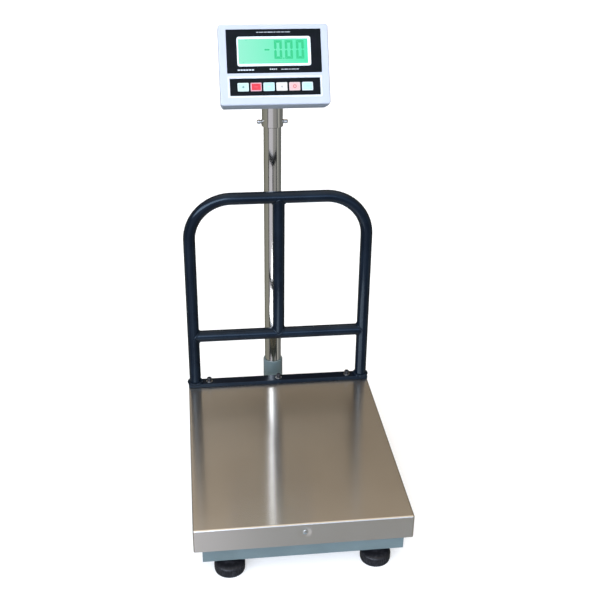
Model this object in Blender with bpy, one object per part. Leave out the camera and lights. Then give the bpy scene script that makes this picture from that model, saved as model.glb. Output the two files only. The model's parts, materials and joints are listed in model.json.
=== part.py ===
"""Platform shipping scale.

A levelled base frame carries a single-point load cell, and the cell carries the deck: a stainless
platter with a bent-tube guard along its rear edge. A column behind the deck holds an indicator
that swivels on the column, tilts on a yoke and has six push keys.

Metres, +Z up, +X to the operator's right and -Y towards the operator. The origin is on the floor
at the centre of the overall footprint.
"""

import math

import bmesh
import bpy
from mathutils import Matrix, Vector

# Driving dimensions
OVERALL_DEPTH = 0.660  # front of the foot pads to the rear end of the column arm
PLATTER_WIDTH = 0.400
PLATTER_DEPTH = 0.500
PLATTER_TOP = 0.110
SKIRT_HEIGHT = 0.048
SHEET = 0.0015
GAP = 0.0003  # clearance between neighbouring solids

# Base frame: square tubes under the skirt, with the feet under the front and rear tubes
FOOT_OVERHANG = 0.005  # the pads stand this far in front of the platter
BASE_WIDTH = 0.369
BASE_DEPTH = 0.483
BASE_SETBACK = 0.0085
BASE_UNDERSIDE = 0.030
RAIL = 0.030
RAIL_WALL = 0.002
FOOT_X = 0.1355
PAD_RADIUS = 0.0285
PAD_HEIGHT = 0.024
STUD_RADIUS = 0.005
STUD_TOP = 0.052

# Load cell and the two cross plates that it joins
CELL_LENGTH = 0.150
CELL_WIDTH = 0.030
CELL_HEIGHT = 0.040
CELL_UNDERSIDE = 0.0453
CELL_END = 0.0525  # from the cell's centre to the centre of each bolted end
CELL_BOLT_PITCH = 0.025
PLATE_THICKNESS = 0.008
PLATE_LENGTH = 0.060
BOSS_HEIGHT = 0.003
BOSS_HALF = 0.0165
M8_RADIUS = 0.004
M8_FLATS = 0.0065  # half the width across the flats of the head
M8_HEAD = 0.0053
M8_HOLE = 0.0043
STOP_Y = (-0.210, 0.060)
STOP_GAP = 0.0018

# Deck frame under the platter
DECK_RAIL = 0.020
DECK_RAIL_X = 0.170
DECK_WALL = 0.002
DECK_SETBACK = 0.005

# Tube guard on the rear edge of the platter
TUBE_RADIUS = 0.0125
TUBE_WALL = 0.0015
GUARD_BAR_DEPTH = 0.025
LOAD_AREA_MARGIN = 0.002
GUARD_BAR_HEIGHT = 0.0092
POST_X = 0.185
RAIL_ABOVE_PLATTER = 0.437
CROSSBAR_ABOVE_PLATTER = 0.1235
BEND_RADIUS = 0.088
BEND_STEPS = 7
GUARD_BOLT_X = (-0.154, 0.0, 0.154)
GUARD_BOLT_RADIUS = 0.003
GUARD_BOLT_HOLE = 0.0033
PLATTER_SCREW_DROP = 0.0187
DISH_RADIUS = 0.0125
DISH_DEPTH = 0.0008

# Column
COLUMN_Y = 0.300
COLUMN_RADIUS = 0.019
COLUMN_WALL = 0.0015
COLUMN_TOP = 0.700
ARM_WIDTH = 0.040
SOCKET_RADIUS = 0.0225
SOCKET_TOP = 0.0915
CABLE_RADIUS = 0.00225
CABLE_HOLE = 0.006

# Bracket on the column: a clamped sleeve with a yoke for the tilt bolt
TILT_Z = 0.755
SLEEVE_RADIUS = 0.02225
SLEEVE_BOTTOM = 0.656
SLEEVE_TOP = 0.710
CLAMP_Z = 0.6655
YOKE_INNER = 0.0188
YOKE_PLATE = 0.003
YOKE_DEPTH = 0.020  # half the depth of the yoke at its foot
PIVOT_RADIUS = 0.0095

# Indicator
TILT_BACK = math.radians(26.0)
FACE_FORWARD = 0.064  # from the tilt axis to the front face
FACE_RISE = 0.015  # from the tilt axis up to the centre of the face
CASE_WIDTH = 0.221
CASE_HEIGHT = 0.161
CASE_WALL = 0.0025
CASE_EDGE = 0.004
FRONT_DEPTH = 0.020
CASE_DEPTH = 0.053
REAR_TAPER = (0.005, 0.0015)
REAR_BAND = 0.004  # the straight part of the rear case before its taper
RECESS = 0.001
DISPLAY_SIZE = (0.190, 0.087)
DISPLAY_Z = 0.0266
WINDOW_SIZE = (0.1486, 0.0594)
WINDOW_Z = 0.0263
KEYPAD_SIZE = (0.181, 0.0339)
KEYPAD_Z = -0.0446
KEY_SIZE = (0.0220, 0.0168)
KEY_PITCH = 0.0258
KEY_PROUD = 0.0012
KEY_DEPTH = 0.0044
PORT_X = 0.065
PORT_Z = -0.040

# Derived places
FRONT_Y = -OVERALL_DEPTH / 2 + FOOT_OVERHANG
PLATTER_Y = FRONT_Y + PLATTER_DEPTH / 2
BASE_FRONT = FRONT_Y + BASE_SETBACK
BASE_REAR = BASE_FRONT + BASE_DEPTH
BASE_TOP = BASE_UNDERSIDE + RAIL
DECK_UNDERSIDE = PLATTER_TOP - SHEET - GAP - DECK_RAIL
GUARD_Y = PLATTER_DEPTH / 2 - GUARD_BAR_DEPTH / 2
PILLAR_FOOT = BASE_TOP + GAP


def clear_scene():
    for obj in list(bpy.data.objects):
        bpy.data.objects.remove(obj, do_unlink=True)


def material(name, colour, roughness, metallic=0.0):
    """A Principled material, made once and then shared by its name."""
    if name in bpy.data.materials:
        return bpy.data.materials[name]
    made = bpy.data.materials.new(name)
    made.use_nodes = True
    shader = made.node_tree.nodes["Principled BSDF"]
    shader.inputs["Base Color"].default_value = (*colour, 1.0)
    shader.inputs["Roughness"].default_value = roughness
    shader.inputs["Metallic"].default_value = metallic
    return made


def stainless():
    return material("brushed_stainless", (0.56, 0.53, 0.48), 0.32, 1.0)


def polished_steel():
    return material("polished_steel", (0.62, 0.62, 0.60), 0.18, 1.0)


def frame_paint():
    return material("grey_green_paint", (0.30, 0.38, 0.40), 0.42)


def guard_paint():
    return material("navy_black_paint", (0.018, 0.022, 0.030), 0.28)


def zinc():
    return material("zinc_plate", (0.60, 0.60, 0.58), 0.35, 1.0)


def black_oxide():
    return material("black_oxide", (0.05, 0.05, 0.055), 0.45, 1.0)


def black_rubber():
    return material("black_rubber", (0.02, 0.02, 0.022), 0.60)


def black_plastic():
    return material("black_plastic", (0.02, 0.021, 0.024), 0.35)


def case_white():
    return material("case_white", (0.82, 0.86, 0.92), 0.38)


def finish_mesh(name, bm):
    """Turns a bmesh into a mesh with outward faces and smooth shading on its round sides."""
    bmesh.ops.recalc_face_normals(bm, faces=bm.faces)
    mesh = bpy.data.meshes.new(name)
    bm.to_mesh(mesh)
    bm.free()
    mesh.shade_smooth()
    mesh.set_sharp_from_angle(angle=math.radians(35))
    return mesh


def solid(name, bm, finish, parent, at=(0, 0, 0), turn=(0, 0, 0)):
    """A named piece in its parent's frame."""
    mesh = finish_mesh(name, bm)
    mesh.materials.append(finish)
    obj = bpy.data.objects.new(name, mesh)
    obj.location = at
    obj.rotation_euler = turn
    obj.parent = parent
    bpy.context.scene.collection.objects.link(obj)
    return obj


def empty(name, at, turn=(0, 0, 0), parent=None):
    """A frame for a group of pieces, placed on the joint that moves them."""
    obj = bpy.data.objects.new(name, None)
    obj.empty_display_size = 0.03
    obj.location = at
    obj.rotation_euler = turn
    obj.parent = parent
    bpy.context.scene.collection.objects.link(obj)
    return obj


def combine(target, bm, operation="DIFFERENCE"):
    """Cuts or adds a shape given in the target's own frame."""
    tool = bpy.data.objects.new(target.name + "_tool", finish_mesh(target.name + "_tool", bm))
    tool.matrix_basis = target.matrix_basis.copy()
    tool.parent = target.parent
    tool.hide_render = True
    tool.display_type = "WIRE"
    bpy.context.scene.collection.objects.link(tool)
    modifier = target.modifiers.new(operation.lower(), "BOOLEAN")
    modifier.operation = operation
    modifier.solver = "EXACT"
    modifier.object = tool


def block(low, high):
    low, high = Vector(low), Vector(high)
    bm = bmesh.new()
    bmesh.ops.create_cube(bm, size=1.0)
    bmesh.ops.scale(bm, vec=high - low, verts=bm.verts)
    bmesh.ops.translate(bm, vec=(low + high) / 2, verts=bm.verts)
    return bm


def rod(radius, start, end, sides=16):
    """A cylinder between two points."""
    start, end = Vector(start), Vector(end)
    axis = end - start
    turn = Vector((0, 0, 1)).rotation_difference(axis).to_matrix().to_4x4()
    bm = bmesh.new()
    bmesh.ops.create_cone(
        bm,
        cap_ends=True,
        segments=sides,
        radius1=radius,
        radius2=radius,
        depth=axis.length,
        matrix=Matrix.Translation((start + end) / 2) @ turn,
    )
    return bm


def join_rings(bm, lower, upper):
    """Faces between two rings of vertices, where a ring of one vertex is a point on the axis."""
    count = max(len(lower), len(upper))
    for i in range(count):
        j = (i + 1) % count
        corners = [lower[i % len(lower)], lower[j % len(lower)]]
        corners += [upper[j % len(upper)], upper[i % len(upper)]]
        bm.faces.new(list(dict.fromkeys(corners)))


def turned(profile, sides, along="Z"):
    """Revolves (radius, height) points. A third value of True makes that ring a hexagon, whose
    radius is then half the width across its flats. A profile that starts and ends on the axis is
    a plug, and any other closes on itself as a ring."""
    bm = bmesh.new()
    rings = []
    for radius, height, *hexagon in profile:
        if radius == 0:
            rings.append([bm.verts.new((0, 0, height))])
            continue
        ring = []
        for i in range(sides):
            angle = math.tau * i / sides
            reach = radius
            if hexagon:
                reach /= math.cos((angle + math.pi / 6) % (math.pi / 3) - math.pi / 6)
            ring.append(bm.verts.new((reach * math.cos(angle), reach * math.sin(angle), height)))
        rings.append(ring)
    for lower, upper in zip(rings, rings[1:]):
        join_rings(bm, lower, upper)
    if len(rings[0]) > 1:
        join_rings(bm, rings[-1], rings[0])
    if along == "X":
        bmesh.ops.rotate(bm, matrix=Matrix.Rotation(math.pi / 2, 3, "Y"), verts=bm.verts)
    if along == "Y":
        bmesh.ops.rotate(bm, matrix=Matrix.Rotation(-math.pi / 2, 3, "X"), verts=bm.verts)
    return bm


def upright_outline(outline, start, end):
    """Extrudes (x, z) points along Y."""
    bm = bmesh.new()
    face = bm.faces.new([bm.verts.new((x, start, z)) for x, z in outline])
    made = bmesh.ops.extrude_face_region(bm, geom=[face])
    moved = [item for item in made["geom"] if isinstance(item, bmesh.types.BMVert)]
    bmesh.ops.translate(bm, vec=(0, end - start, 0), verts=moved)
    return bm


def rounded_outline(width, height, radius, z=0.0, steps=3):
    """Points of a rounded rectangle about (0, z)."""
    points = []
    for quarter, (sx, sz) in enumerate(((1, 1), (-1, 1), (-1, -1), (1, -1))):
        for step in range(steps + 1):
            angle = math.pi / 2 * (quarter + step / steps)
            x = sx * (width / 2 - radius) + radius * math.cos(angle)
            points.append((x, z + sz * (height / 2 - radius) + radius * math.sin(angle)))
    return points


def arc(centre, radius, start, end, steps):
    """Points (x, z) along an arc, both ends included."""
    angles = [math.radians(start + (end - start) * i / steps) for i in range(steps + 1)]
    return [(centre[0] + radius * math.cos(a), centre[1] + radius * math.sin(a)) for a in angles]


def bent_tube(path, y, outer, inner, sides=16):
    """A round tube with open ends along (x, z) points in the plane of the given y."""
    bm = bmesh.new()
    skins = {outer: [], inner: []}
    for i, (x, z) in enumerate(path):
        before, after = path[max(i - 1, 0)], path[min(i + 1, len(path) - 1)]
        across = Vector((before[1] - after[1], 0, after[0] - before[0])).normalized()
        for radius, rings in skins.items():
            ring = []
            for k in range(sides):
                angle = math.tau * k / sides
                spot = Vector((x, y, z)) + across * radius * math.cos(angle)
                ring.append(bm.verts.new(spot + Vector((0, radius * math.sin(angle), 0))))
            rings.append(ring)
    for rings in skins.values():
        for lower, upper in zip(rings, rings[1:]):
            join_rings(bm, lower, upper)
    for end in (0, -1):
        join_rings(bm, skins[outer][end], skins[inner][end])
    return bm


def open_box(low, high, open_side):
    """A box without the side that faces the given way."""
    bm = block(low, high)
    way = Vector(open_side)
    bm.normal_update()
    gone = [face for face in bm.faces if face.normal.dot(way) > 0.9]
    bmesh.ops.delete(bm, geom=gone, context="FACES_ONLY")
    return bm


def fold_shell(obj, edge, thickness):
    """Rounds the edges of an open box and gives it a wall inwards."""
    bevel = obj.modifiers.new("rounded_edges", "BEVEL")
    bevel.width = edge
    bevel.segments = 3
    bevel.limit_method = "ANGLE"
    wall = obj.modifiers.new("wall", "SOLIDIFY")
    wall.thickness = thickness
    wall.offset = -1
    wall.use_even_offset = True


def hollow_rail(name, low, high, wall, finish, parent, open_axis=None):
    """A rectangular tube. Its ends are plated unless open_axis says which way it is open."""
    rail = solid(name, block(low, high), finish, parent)
    inner_low = [value + wall for value in low]
    inner_high = [value - wall for value in high]
    if open_axis is not None:
        inner_low[open_axis] = low[open_axis] - wall
        inner_high[open_axis] = high[open_axis] + wall
    combine(rail, block(inner_low, inner_high))
    return rail


def hex_bolt(name, radius, flats, head, shank, finish, parent, at, turn=(0, 0, 0)):
    """A hexagon bolt whose head starts at its origin and whose shank points down."""
    profile = [
        (0, head),
        (flats, head, True),
        (flats, 0, True),
        (radius, 0),
        (radius, -shank),
        (0, -shank),
    ]
    return solid(name, turned(profile, 12), finish, parent, at, turn)


def base_rails(base):
    half = BASE_WIDTH / 2
    foot_line = {"front": BASE_FRONT + RAIL / 2, "rear": BASE_REAR - RAIL / 2}
    for end, y in foot_line.items():
        low = (-half, y - RAIL / 2, BASE_UNDERSIDE)
        high = (half, y + RAIL / 2, BASE_TOP)
        rail = hollow_rail(f"base_rail_{end}", low, high, RAIL_WALL, frame_paint(), base)
        for x in (-FOOT_X, FOOT_X):
            hole = rod(
                STUD_RADIUS + GAP,
                (x, y, BASE_UNDERSIDE - RAIL_WALL),
                (x, y, BASE_UNDERSIDE + 2 * RAIL_WALL),
            )
            combine(rail, hole)
        if end == "rear":
            middle = BASE_UNDERSIDE + RAIL / 2
            combine(rail, rod(CABLE_HOLE, (0, y - RAIL, middle), (0, y + RAIL, middle)))
    for side, sign in (("left", -1), ("right", 1)):
        edges = sorted((sign * half, sign * (half - RAIL)))
        low = (edges[0], BASE_FRONT + RAIL + GAP, BASE_UNDERSIDE)
        high = (edges[1], BASE_REAR - RAIL - GAP, BASE_TOP)
        rail = hollow_rail(
            f"base_rail_{side}", low, high, RAIL_WALL, frame_paint(), base, open_axis=1
        )
        for y in STOP_Y:
            x = sum(edges) / 2
            hole = rod(M8_HOLE, (x, y, BASE_TOP - 2 * RAIL_WALL), (x, y, BASE_TOP + RAIL_WALL))
            combine(rail, hole)


def cross_plate(name, half_width, y, face, way, finish, parent):
    """A plate across a frame with a boss that meets the load cell. face is the height of the
    boss's contact face, and way is 1 where the plate lies below the cell and -1 above it."""
    levels = sorted((face - way * BOSS_HEIGHT, face - way * (BOSS_HEIGHT + PLATE_THICKNESS)))
    low = (-half_width, y - PLATE_LENGTH / 2, levels[0])
    high = (half_width, y + PLATE_LENGTH / 2, levels[1])
    plate = solid(name, block(low, high), finish, parent)
    levels = sorted((face, face - way * (BOSS_HEIGHT + PLATE_THICKNESS / 2)))
    boss = block(
        (-BOSS_HALF, y - BOSS_HALF, levels[0]),
        (BOSS_HALF, y + BOSS_HALF, levels[1]),
    )
    combine(plate, boss, "UNION")
    reach = BOSS_HEIGHT + 2 * PLATE_THICKNESS
    for offset in (-CELL_BOLT_PITCH / 2, CELL_BOLT_PITCH / 2):
        spot = (0, y + offset)
        combine(plate, rod(M8_HOLE, (*spot, face - reach), (*spot, face + reach)))


def load_cell(base):
    """A bending-beam cell: a bar with a dumbbell slot through its sides."""
    top = CELL_UNDERSIDE + CELL_HEIGHT
    middle = CELL_UNDERSIDE + CELL_HEIGHT / 2
    half = CELL_WIDTH / 2
    ends = (PLATTER_Y - CELL_LENGTH / 2, PLATTER_Y + CELL_LENGTH / 2)
    low, high = (-half, ends[0], CELL_UNDERSIDE), (half, ends[1], top)
    aluminium = material("cell_aluminium", (0.70, 0.71, 0.72), 0.4, 1.0)
    cell = solid("load_cell", block(low, high), aluminium, base)
    lobe = 0.015
    for y in (PLATTER_Y - lobe, PLATTER_Y + lobe):
        combine(cell, rod(0.0135, (-2 * half, y, middle), (2 * half, y, middle), 20))
    slot = 0.003
    combine(
        cell,
        block(
            (-2 * half, PLATTER_Y - lobe, middle - slot),
            (2 * half, PLATTER_Y + lobe, middle + slot),
        ),
    )
    depth = 0.017
    for end, face, way in ((-CELL_END, CELL_UNDERSIDE, 1), (CELL_END, top, -1)):
        for offset in (-CELL_BOLT_PITCH / 2, CELL_BOLT_PITCH / 2):
            spot = (0, PLATTER_Y + end + offset)
            hole = rod(M8_HOLE, (*spot, face - way * depth), (*spot, face + way * depth))
            combine(cell, hole)


def cell_bolts(parent, origin, end, level, turn, side):
    """The two bolts of one end of the cell, given in the frame of the body that they ride with."""
    reach = PLATE_THICKNESS + BOSS_HEIGHT + 0.014
    for number, offset in enumerate((-CELL_BOLT_PITCH / 2, CELL_BOLT_PITCH / 2), 1):
        spot = Vector((0, PLATTER_Y + end + offset, level)) - origin
        name = f"cell_bolt_{side}_{number}"
        hex_bolt(name, M8_RADIUS, M8_FLATS, M8_HEAD, reach, zinc(), parent, spot, turn)


def overload_stops(base):
    """Bolts on the side tubes that stop the deck just before it would strain the cell."""
    top = DECK_UNDERSIDE - STOP_GAP
    x = BASE_WIDTH / 2 - RAIL / 2
    places = [(sx * x, y) for y in STOP_Y for sx in (-1, 1)]
    collar = BASE_TOP + GAP
    profile = [
        (0, BASE_TOP - 0.014),
        (M8_RADIUS, BASE_TOP - 0.014),
        (M8_RADIUS, collar),
        (M8_FLATS, collar, True),
        (M8_FLATS, collar + 0.0065, True),
        (M8_RADIUS, collar + 0.0065),
        (M8_RADIUS, top - M8_HEAD),
        (M8_FLATS, top - M8_HEAD, True),
        (M8_FLATS, top, True),
        (0, top),
    ]
    for number, (sx, y) in enumerate(places, 1):
        solid(f"overload_stop_{number}", turned(profile, 12), zinc(), base, (sx, y, 0))


def foot(name, x, y):
    """A levelling foot: a ribbed pad on a threaded stud that rises inside the base tube."""
    frame = empty(name, (x, y, 0))
    recess = 0.008
    pad = [
        (0, 0),
        (PAD_RADIUS - 0.002, 0),
        (PAD_RADIUS, 0.0025),
        (PAD_RADIUS, 0.015),
        (PAD_RADIUS - 0.0015, 0.0195),
        (PAD_RADIUS - 0.006, 0.022),
        (0.0095, 0.022),
        (0.0085, PAD_HEIGHT),
        (STUD_RADIUS + GAP, PAD_HEIGHT),
        (STUD_RADIUS + GAP, recess),
        (0, recess),
    ]
    solid(name + "_pad", turned(pad, 20), black_rubber(), frame)
    stud = [
        (0, recess + GAP),
        (STUD_RADIUS, recess + GAP),
        (STUD_RADIUS, STUD_TOP - 0.001),
        (STUD_RADIUS - 0.001, STUD_TOP),
        (0, STUD_TOP),
    ]
    solid(name + "_stud", turned(stud, 12), zinc(), frame)


def column_arm(base):
    """The tube that reaches back from the base frame to carry the column."""
    half = ARM_WIDTH / 2
    low = (-half, BASE_REAR + GAP, BASE_UNDERSIDE)
    high = (half, OVERALL_DEPTH / 2, BASE_TOP)
    arm = solid("column_arm", block(low, high), frame_paint(), base)
    inner = block(
        (-half + RAIL_WALL, BASE_REAR - RAIL_WALL, BASE_UNDERSIDE + RAIL_WALL),
        (half - RAIL_WALL, OVERALL_DEPTH / 2 - RAIL_WALL, BASE_TOP - RAIL_WALL),
    )
    combine(arm, inner)
    spot = (0, COLUMN_Y)
    combine(arm, rod(0.010, (*spot, BASE_TOP - 2 * RAIL_WALL), (*spot, BASE_TOP + RAIL_WALL)))


def column(base):
    bore = COLUMN_RADIUS + GAP
    chamfer = 0.001
    socket = [
        (bore, PILLAR_FOOT),
        (SOCKET_RADIUS, PILLAR_FOOT),
        (SOCKET_RADIUS, SOCKET_TOP - chamfer),
        (SOCKET_RADIUS - chamfer, SOCKET_TOP),
        (bore, SOCKET_TOP),
    ]
    solid("column_socket", turned(socket, 28), frame_paint(), base, (0, COLUMN_Y, 0))
    inner = COLUMN_RADIUS - COLUMN_WALL
    tube = [
        (inner, PILLAR_FOOT),
        (COLUMN_RADIUS, PILLAR_FOOT),
        (COLUMN_RADIUS, COLUMN_TOP),
        (inner, COLUMN_TOP),
    ]
    solid("column_tube", turned(tube, 28), polished_steel(), base, (0, COLUMN_Y, 0))


def smooth_route(route, steps):
    """Points along a Catmull-Rom curve through the route."""
    route = [Vector(point) for point in route]
    padded = [2 * route[0] - route[1], *route, 2 * route[-1] - route[-2]]
    points = []
    for before, here, after, beyond in zip(padded, padded[1:], padded[2:], padded[3:]):
        for i in range(steps):
            t = i / steps
            points.append(
                0.5
                * (
                    2 * here
                    + (after - before) * t
                    + (2 * before - 5 * here + 4 * after - beyond) * t**2
                    + (3 * here - before - 3 * after + beyond) * t**3
                )
            )
    return [*points, route[-1]]


def load_cell_cable(base):
    """The cell's lead: out of its fixed end, along the base, through the arm and up the column."""
    level = BASE_UNDERSIDE + RAIL / 2
    exit_y = PLATTER_Y - CELL_END - 0.010
    beside = CELL_WIDTH / 2 + 0.0105
    route = [
        (CELL_WIDTH / 2 + 2 * GAP, exit_y, level + 0.012),
        (CELL_WIDTH / 2 + 0.003, exit_y, level + 0.012),
        (CELL_WIDTH / 2 + 0.0085, exit_y + 0.004, level + 0.0115),
        (beside, exit_y + 0.016, level + 0.010),
        (beside, exit_y + 0.070, level + 0.006),
        (beside, exit_y + 0.150, level + 0.002),
        (0.015, exit_y + 0.215, level),
        (0, BASE_REAR - RAIL - 0.010, level),
        (0, BASE_REAR + 0.010, level),
        (0, COLUMN_Y - 0.060, level),
        (0, COLUMN_Y - 0.019, level),
        (0, COLUMN_Y - 0.0055, level + 0.0055),
        (0, COLUMN_Y, level + 0.019),
        (0, COLUMN_Y, 0.120),
        (0, COLUMN_Y, 0.300),
        (0, COLUMN_Y, 0.500),
        (0, COLUMN_Y, COLUMN_TOP - 0.006),
    ]
    points = smooth_route(route, 3)
    curve = bpy.data.curves.new("load_cell_cable", "CURVE")
    curve.dimensions = "3D"
    curve.bevel_depth = CABLE_RADIUS
    curve.bevel_resolution = 2
    curve.use_fill_caps = True
    spline = curve.splines.new("POLY")
    spline.points.add(len(points) - 1)
    for place, point in zip(spline.points, points):
        place.co = (*point, 1.0)
    curve.materials.append(material("cable_grey", (0.10, 0.10, 0.11), 0.5))
    cable = bpy.data.objects.new("load_cell_cable", curve)
    cable.parent = base
    bpy.context.scene.collection.objects.link(cable)


def split_top(bm, y):
    """Divides the top along a line across the platter, in front of the guard."""
    top = [face for face in bm.faces if face.calc_center_median().z == 0]
    parts = {*top, *top[0].edges, *top[0].verts}
    bmesh.ops.bisect_plane(bm, geom=list(parts), plane_co=(0, y, 0), plane_no=(0, 1, 0))


def platter(deck):
    """The pressed pan, with its folded skirt, guard bolt holes and dished screw seat."""
    half = PLATTER_WIDTH / 2
    half_depth = PLATTER_DEPTH / 2
    low = (-half, -half_depth, -SKIRT_HEIGHT)
    high = (half, half_depth, 0)
    bm = open_box(low, high, (0, 0, -1))
    split_top(bm, half_depth - GUARD_BAR_DEPTH - LOAD_AREA_MARGIN)
    pan = solid("platter", bm, stainless(), deck)
    fold_shell(pan, 0.003, SHEET)
    for x in GUARD_BOLT_X:
        combine(pan, rod(GUARD_BOLT_HOLE, (x, GUARD_Y, -0.010), (x, GUARD_Y, 0.010), 12))
    seat = [
        (0, -0.002),
        (DISH_RADIUS + 0.003, -0.002),
        (DISH_RADIUS, 0),
        (0.006, DISH_DEPTH),
        (0.0024, DISH_DEPTH),
        (0.0024, 2 * SHEET),
        (0, 2 * SHEET),
    ]
    dish = turned(seat, 24, "Y")
    bmesh.ops.translate(dish, vec=(0, -half_depth, -PLATTER_SCREW_DROP), verts=dish.verts)
    combine(pan, dish)


def platter_screw(deck):
    """The pan-head screw in the front skirt that holds the platter on the deck frame."""
    profile = [
        (0, -0.0007),
        (0.0024, -0.0006),
        (0.0040, 0.0001),
        (0.0044, DISH_DEPTH - GAP),
        (0.0020, DISH_DEPTH - GAP),
        (0.0020, DECK_SETBACK + 0.005),
        (0, DECK_SETBACK + 0.005),
    ]
    at = (0, -PLATTER_DEPTH / 2, -PLATTER_SCREW_DROP)
    solid("platter_screw", turned(profile, 12, "Y"), zinc(), deck, at)


def deck_frame(deck):
    """The tubes that stiffen the platter from below."""
    top = -SHEET - GAP
    bottom = top - DECK_RAIL
    reach = PLATTER_DEPTH / 2 - DECK_SETBACK
    half = DECK_RAIL / 2
    for side, sign in (("left", -1), ("right", 1)):
        low = (sign * DECK_RAIL_X - half, -reach, bottom)
        high = (sign * DECK_RAIL_X + half, reach, top)
        hollow_rail(f"deck_rail_{side}", low, high, DECK_WALL, frame_paint(), deck, open_axis=1)
    inner = DECK_RAIL_X - half - GAP
    low, high = (-inner, -reach, bottom), (inner, -reach + DECK_RAIL, top)
    front = hollow_rail("deck_cross_front", low, high, DECK_WALL, frame_paint(), deck, open_axis=0)
    screw = (0, -PLATTER_SCREW_DROP)
    hole = rod(0.0024, (screw[0], -reach - 0.003, screw[1]), (screw[0], -reach + 0.006, screw[1]))
    combine(front, hole)
    low, high = (-inner, reach - DECK_RAIL, bottom), (inner, reach, top)
    rear = hollow_rail("deck_cross_rear", low, high, DECK_WALL, frame_paint(), deck, open_axis=0)
    for x in GUARD_BOLT_X:
        hole = rod(GUARD_BOLT_HOLE, (x, GUARD_Y, top - 0.004), (x, GUARD_Y, top + 0.004), 12)
        combine(rear, hole)
    face = CELL_UNDERSIDE + CELL_HEIGHT + GAP - PLATTER_TOP
    cross_plate("deck_cross_plate", inner, CELL_END, face, -1, frame_paint(), deck)


def guard_base_bar(deck):
    half = PLATTER_WIDTH / 2
    rear = PLATTER_DEPTH / 2
    low, high = (-half, rear - GUARD_BAR_DEPTH, GAP), (half, rear, GUARD_BAR_HEIGHT)
    bar = solid("guard_base_bar", block(low, high), guard_paint(), deck)
    for x in GUARD_BOLT_X:
        combine(bar, rod(GUARD_BOLT_HOLE, (x, GUARD_Y, -0.005), (x, GUARD_Y, 0.020), 12))


def guard_hoop(deck):
    """The bent tube: two posts and the top rail."""
    foot_z = GUARD_BAR_HEIGHT + GAP
    bend_x = POST_X - BEND_RADIUS
    bend_z = RAIL_ABOVE_PLATTER - BEND_RADIUS
    path = [(-POST_X, foot_z)]
    path += arc((-bend_x, bend_z), BEND_RADIUS, 180, 90, BEND_STEPS)
    path += arc((bend_x, bend_z), BEND_RADIUS, 90, 0, BEND_STEPS)
    path += [(POST_X, foot_z)]
    tube = bent_tube(path, GUARD_Y, TUBE_RADIUS, TUBE_RADIUS - TUBE_WALL)
    solid("guard_hoop", tube, guard_paint(), deck)


def guard_cross_members(deck):
    """The crossbar and the centre bar, saddle-cut where they meet the tubes they are welded to."""
    inner = TUBE_RADIUS - TUBE_WALL
    saddle = TUBE_RADIUS + GAP
    z = CROSSBAR_ABOVE_PLATTER
    path = [(-POST_X + 0.002, z), (POST_X - 0.002, z)]
    crossbar = solid(
        "guard_crossbar", bent_tube(path, GUARD_Y, TUBE_RADIUS, inner), guard_paint(), deck
    )
    for x in (-POST_X, POST_X):
        post = rod(saddle, (x, GUARD_Y, z - 0.03), (x, GUARD_Y, z + 0.03))
        combine(crossbar, post)
    path = [(0, z + 0.002), (0, RAIL_ABOVE_PLATTER - 0.002)]
    centre = solid(
        "guard_centre_bar", bent_tube(path, GUARD_Y, TUBE_RADIUS, inner), guard_paint(), deck
    )
    for level in (z, RAIL_ABOVE_PLATTER):
        combine(centre, rod(saddle, (-0.03, GUARD_Y, level), (0.03, GUARD_Y, level)))


def guard_bolts(deck):
    """Socket-head screws that hold the guard on the deck frame."""
    head, height, socket = 0.005, 0.009, 0.0025
    profile = [
        (0, -0.022),
        (GUARD_BOLT_RADIUS, -0.022),
        (GUARD_BOLT_RADIUS, GAP),
        (head, GAP),
        (head, height - 0.0006),
        (head - 0.0006, height),
        (socket, height, True),
        (socket, height - 0.004, True),
        (0, height - 0.004),
    ]
    for place, x in zip(("left", "centre", "right"), GUARD_BOLT_X):
        at = (x, GUARD_Y, GUARD_BAR_HEIGHT)
        solid(f"guard_bolt_{place}", turned(profile, 12), black_oxide(), deck, at)


def bracket_sleeve(bracket):
    bore = COLUMN_RADIUS + GAP
    low, high = SLEEVE_BOTTOM - TILT_Z, SLEEVE_TOP - TILT_Z
    profile = [
        (bore, low),
        (SLEEVE_RADIUS - 0.001, low),
        (SLEEVE_RADIUS + 0.0006, low + 0.0015),
        (SLEEVE_RADIUS + 0.0006, low + 0.004),
        (SLEEVE_RADIUS, low + 0.006),
        (SLEEVE_RADIUS, high),
        (bore, high),
    ]
    sleeve = solid("bracket_sleeve", turned(profile, 28), polished_steel(), bracket)
    level = CLAMP_Z - TILT_Z
    reach = 2 * SLEEVE_RADIUS
    combine(sleeve, rod(0.003, (-reach, 0, level), (reach, 0, level), 12))


def ear_outline():
    """Points (y, z) of a yoke ear: wide at its foot and round about the tilt axis."""
    foot_z = SLEEVE_TOP - TILT_Z + GAP
    outline = [(-YOKE_DEPTH, foot_z), (YOKE_DEPTH, foot_z)]
    return outline + arc((0, 0), PIVOT_RADIUS, -10, 190, 10)


def bracket_yoke(bracket):
    """A U-shaped plate welded on the sleeve, with a hole for the lead and two pivot ears."""
    foot_z = SLEEVE_TOP - TILT_Z + GAP
    outer = YOKE_INNER + YOKE_PLATE
    low, high = (-outer, -YOKE_DEPTH, foot_z), (outer, YOKE_DEPTH, foot_z + YOKE_PLATE)
    yoke = solid("bracket_yoke", block(low, high), polished_steel(), bracket)
    for sign in (-1, 1):
        faces = sorted((sign * YOKE_INNER, sign * outer))
        ear = upright_outline(ear_outline(), -faces[1], -faces[0])
        bmesh.ops.rotate(ear, matrix=Matrix.Rotation(math.pi / 2, 3, "Z"), verts=ear.verts)
        combine(yoke, ear, "UNION")
    combine(yoke, rod(0.009, (0, 0, foot_z - 0.005), (0, 0, foot_z + 0.010)))
    combine(yoke, rod(M8_HOLE, (-2 * outer, 0, 0), (2 * outer, 0, 0)))


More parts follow.
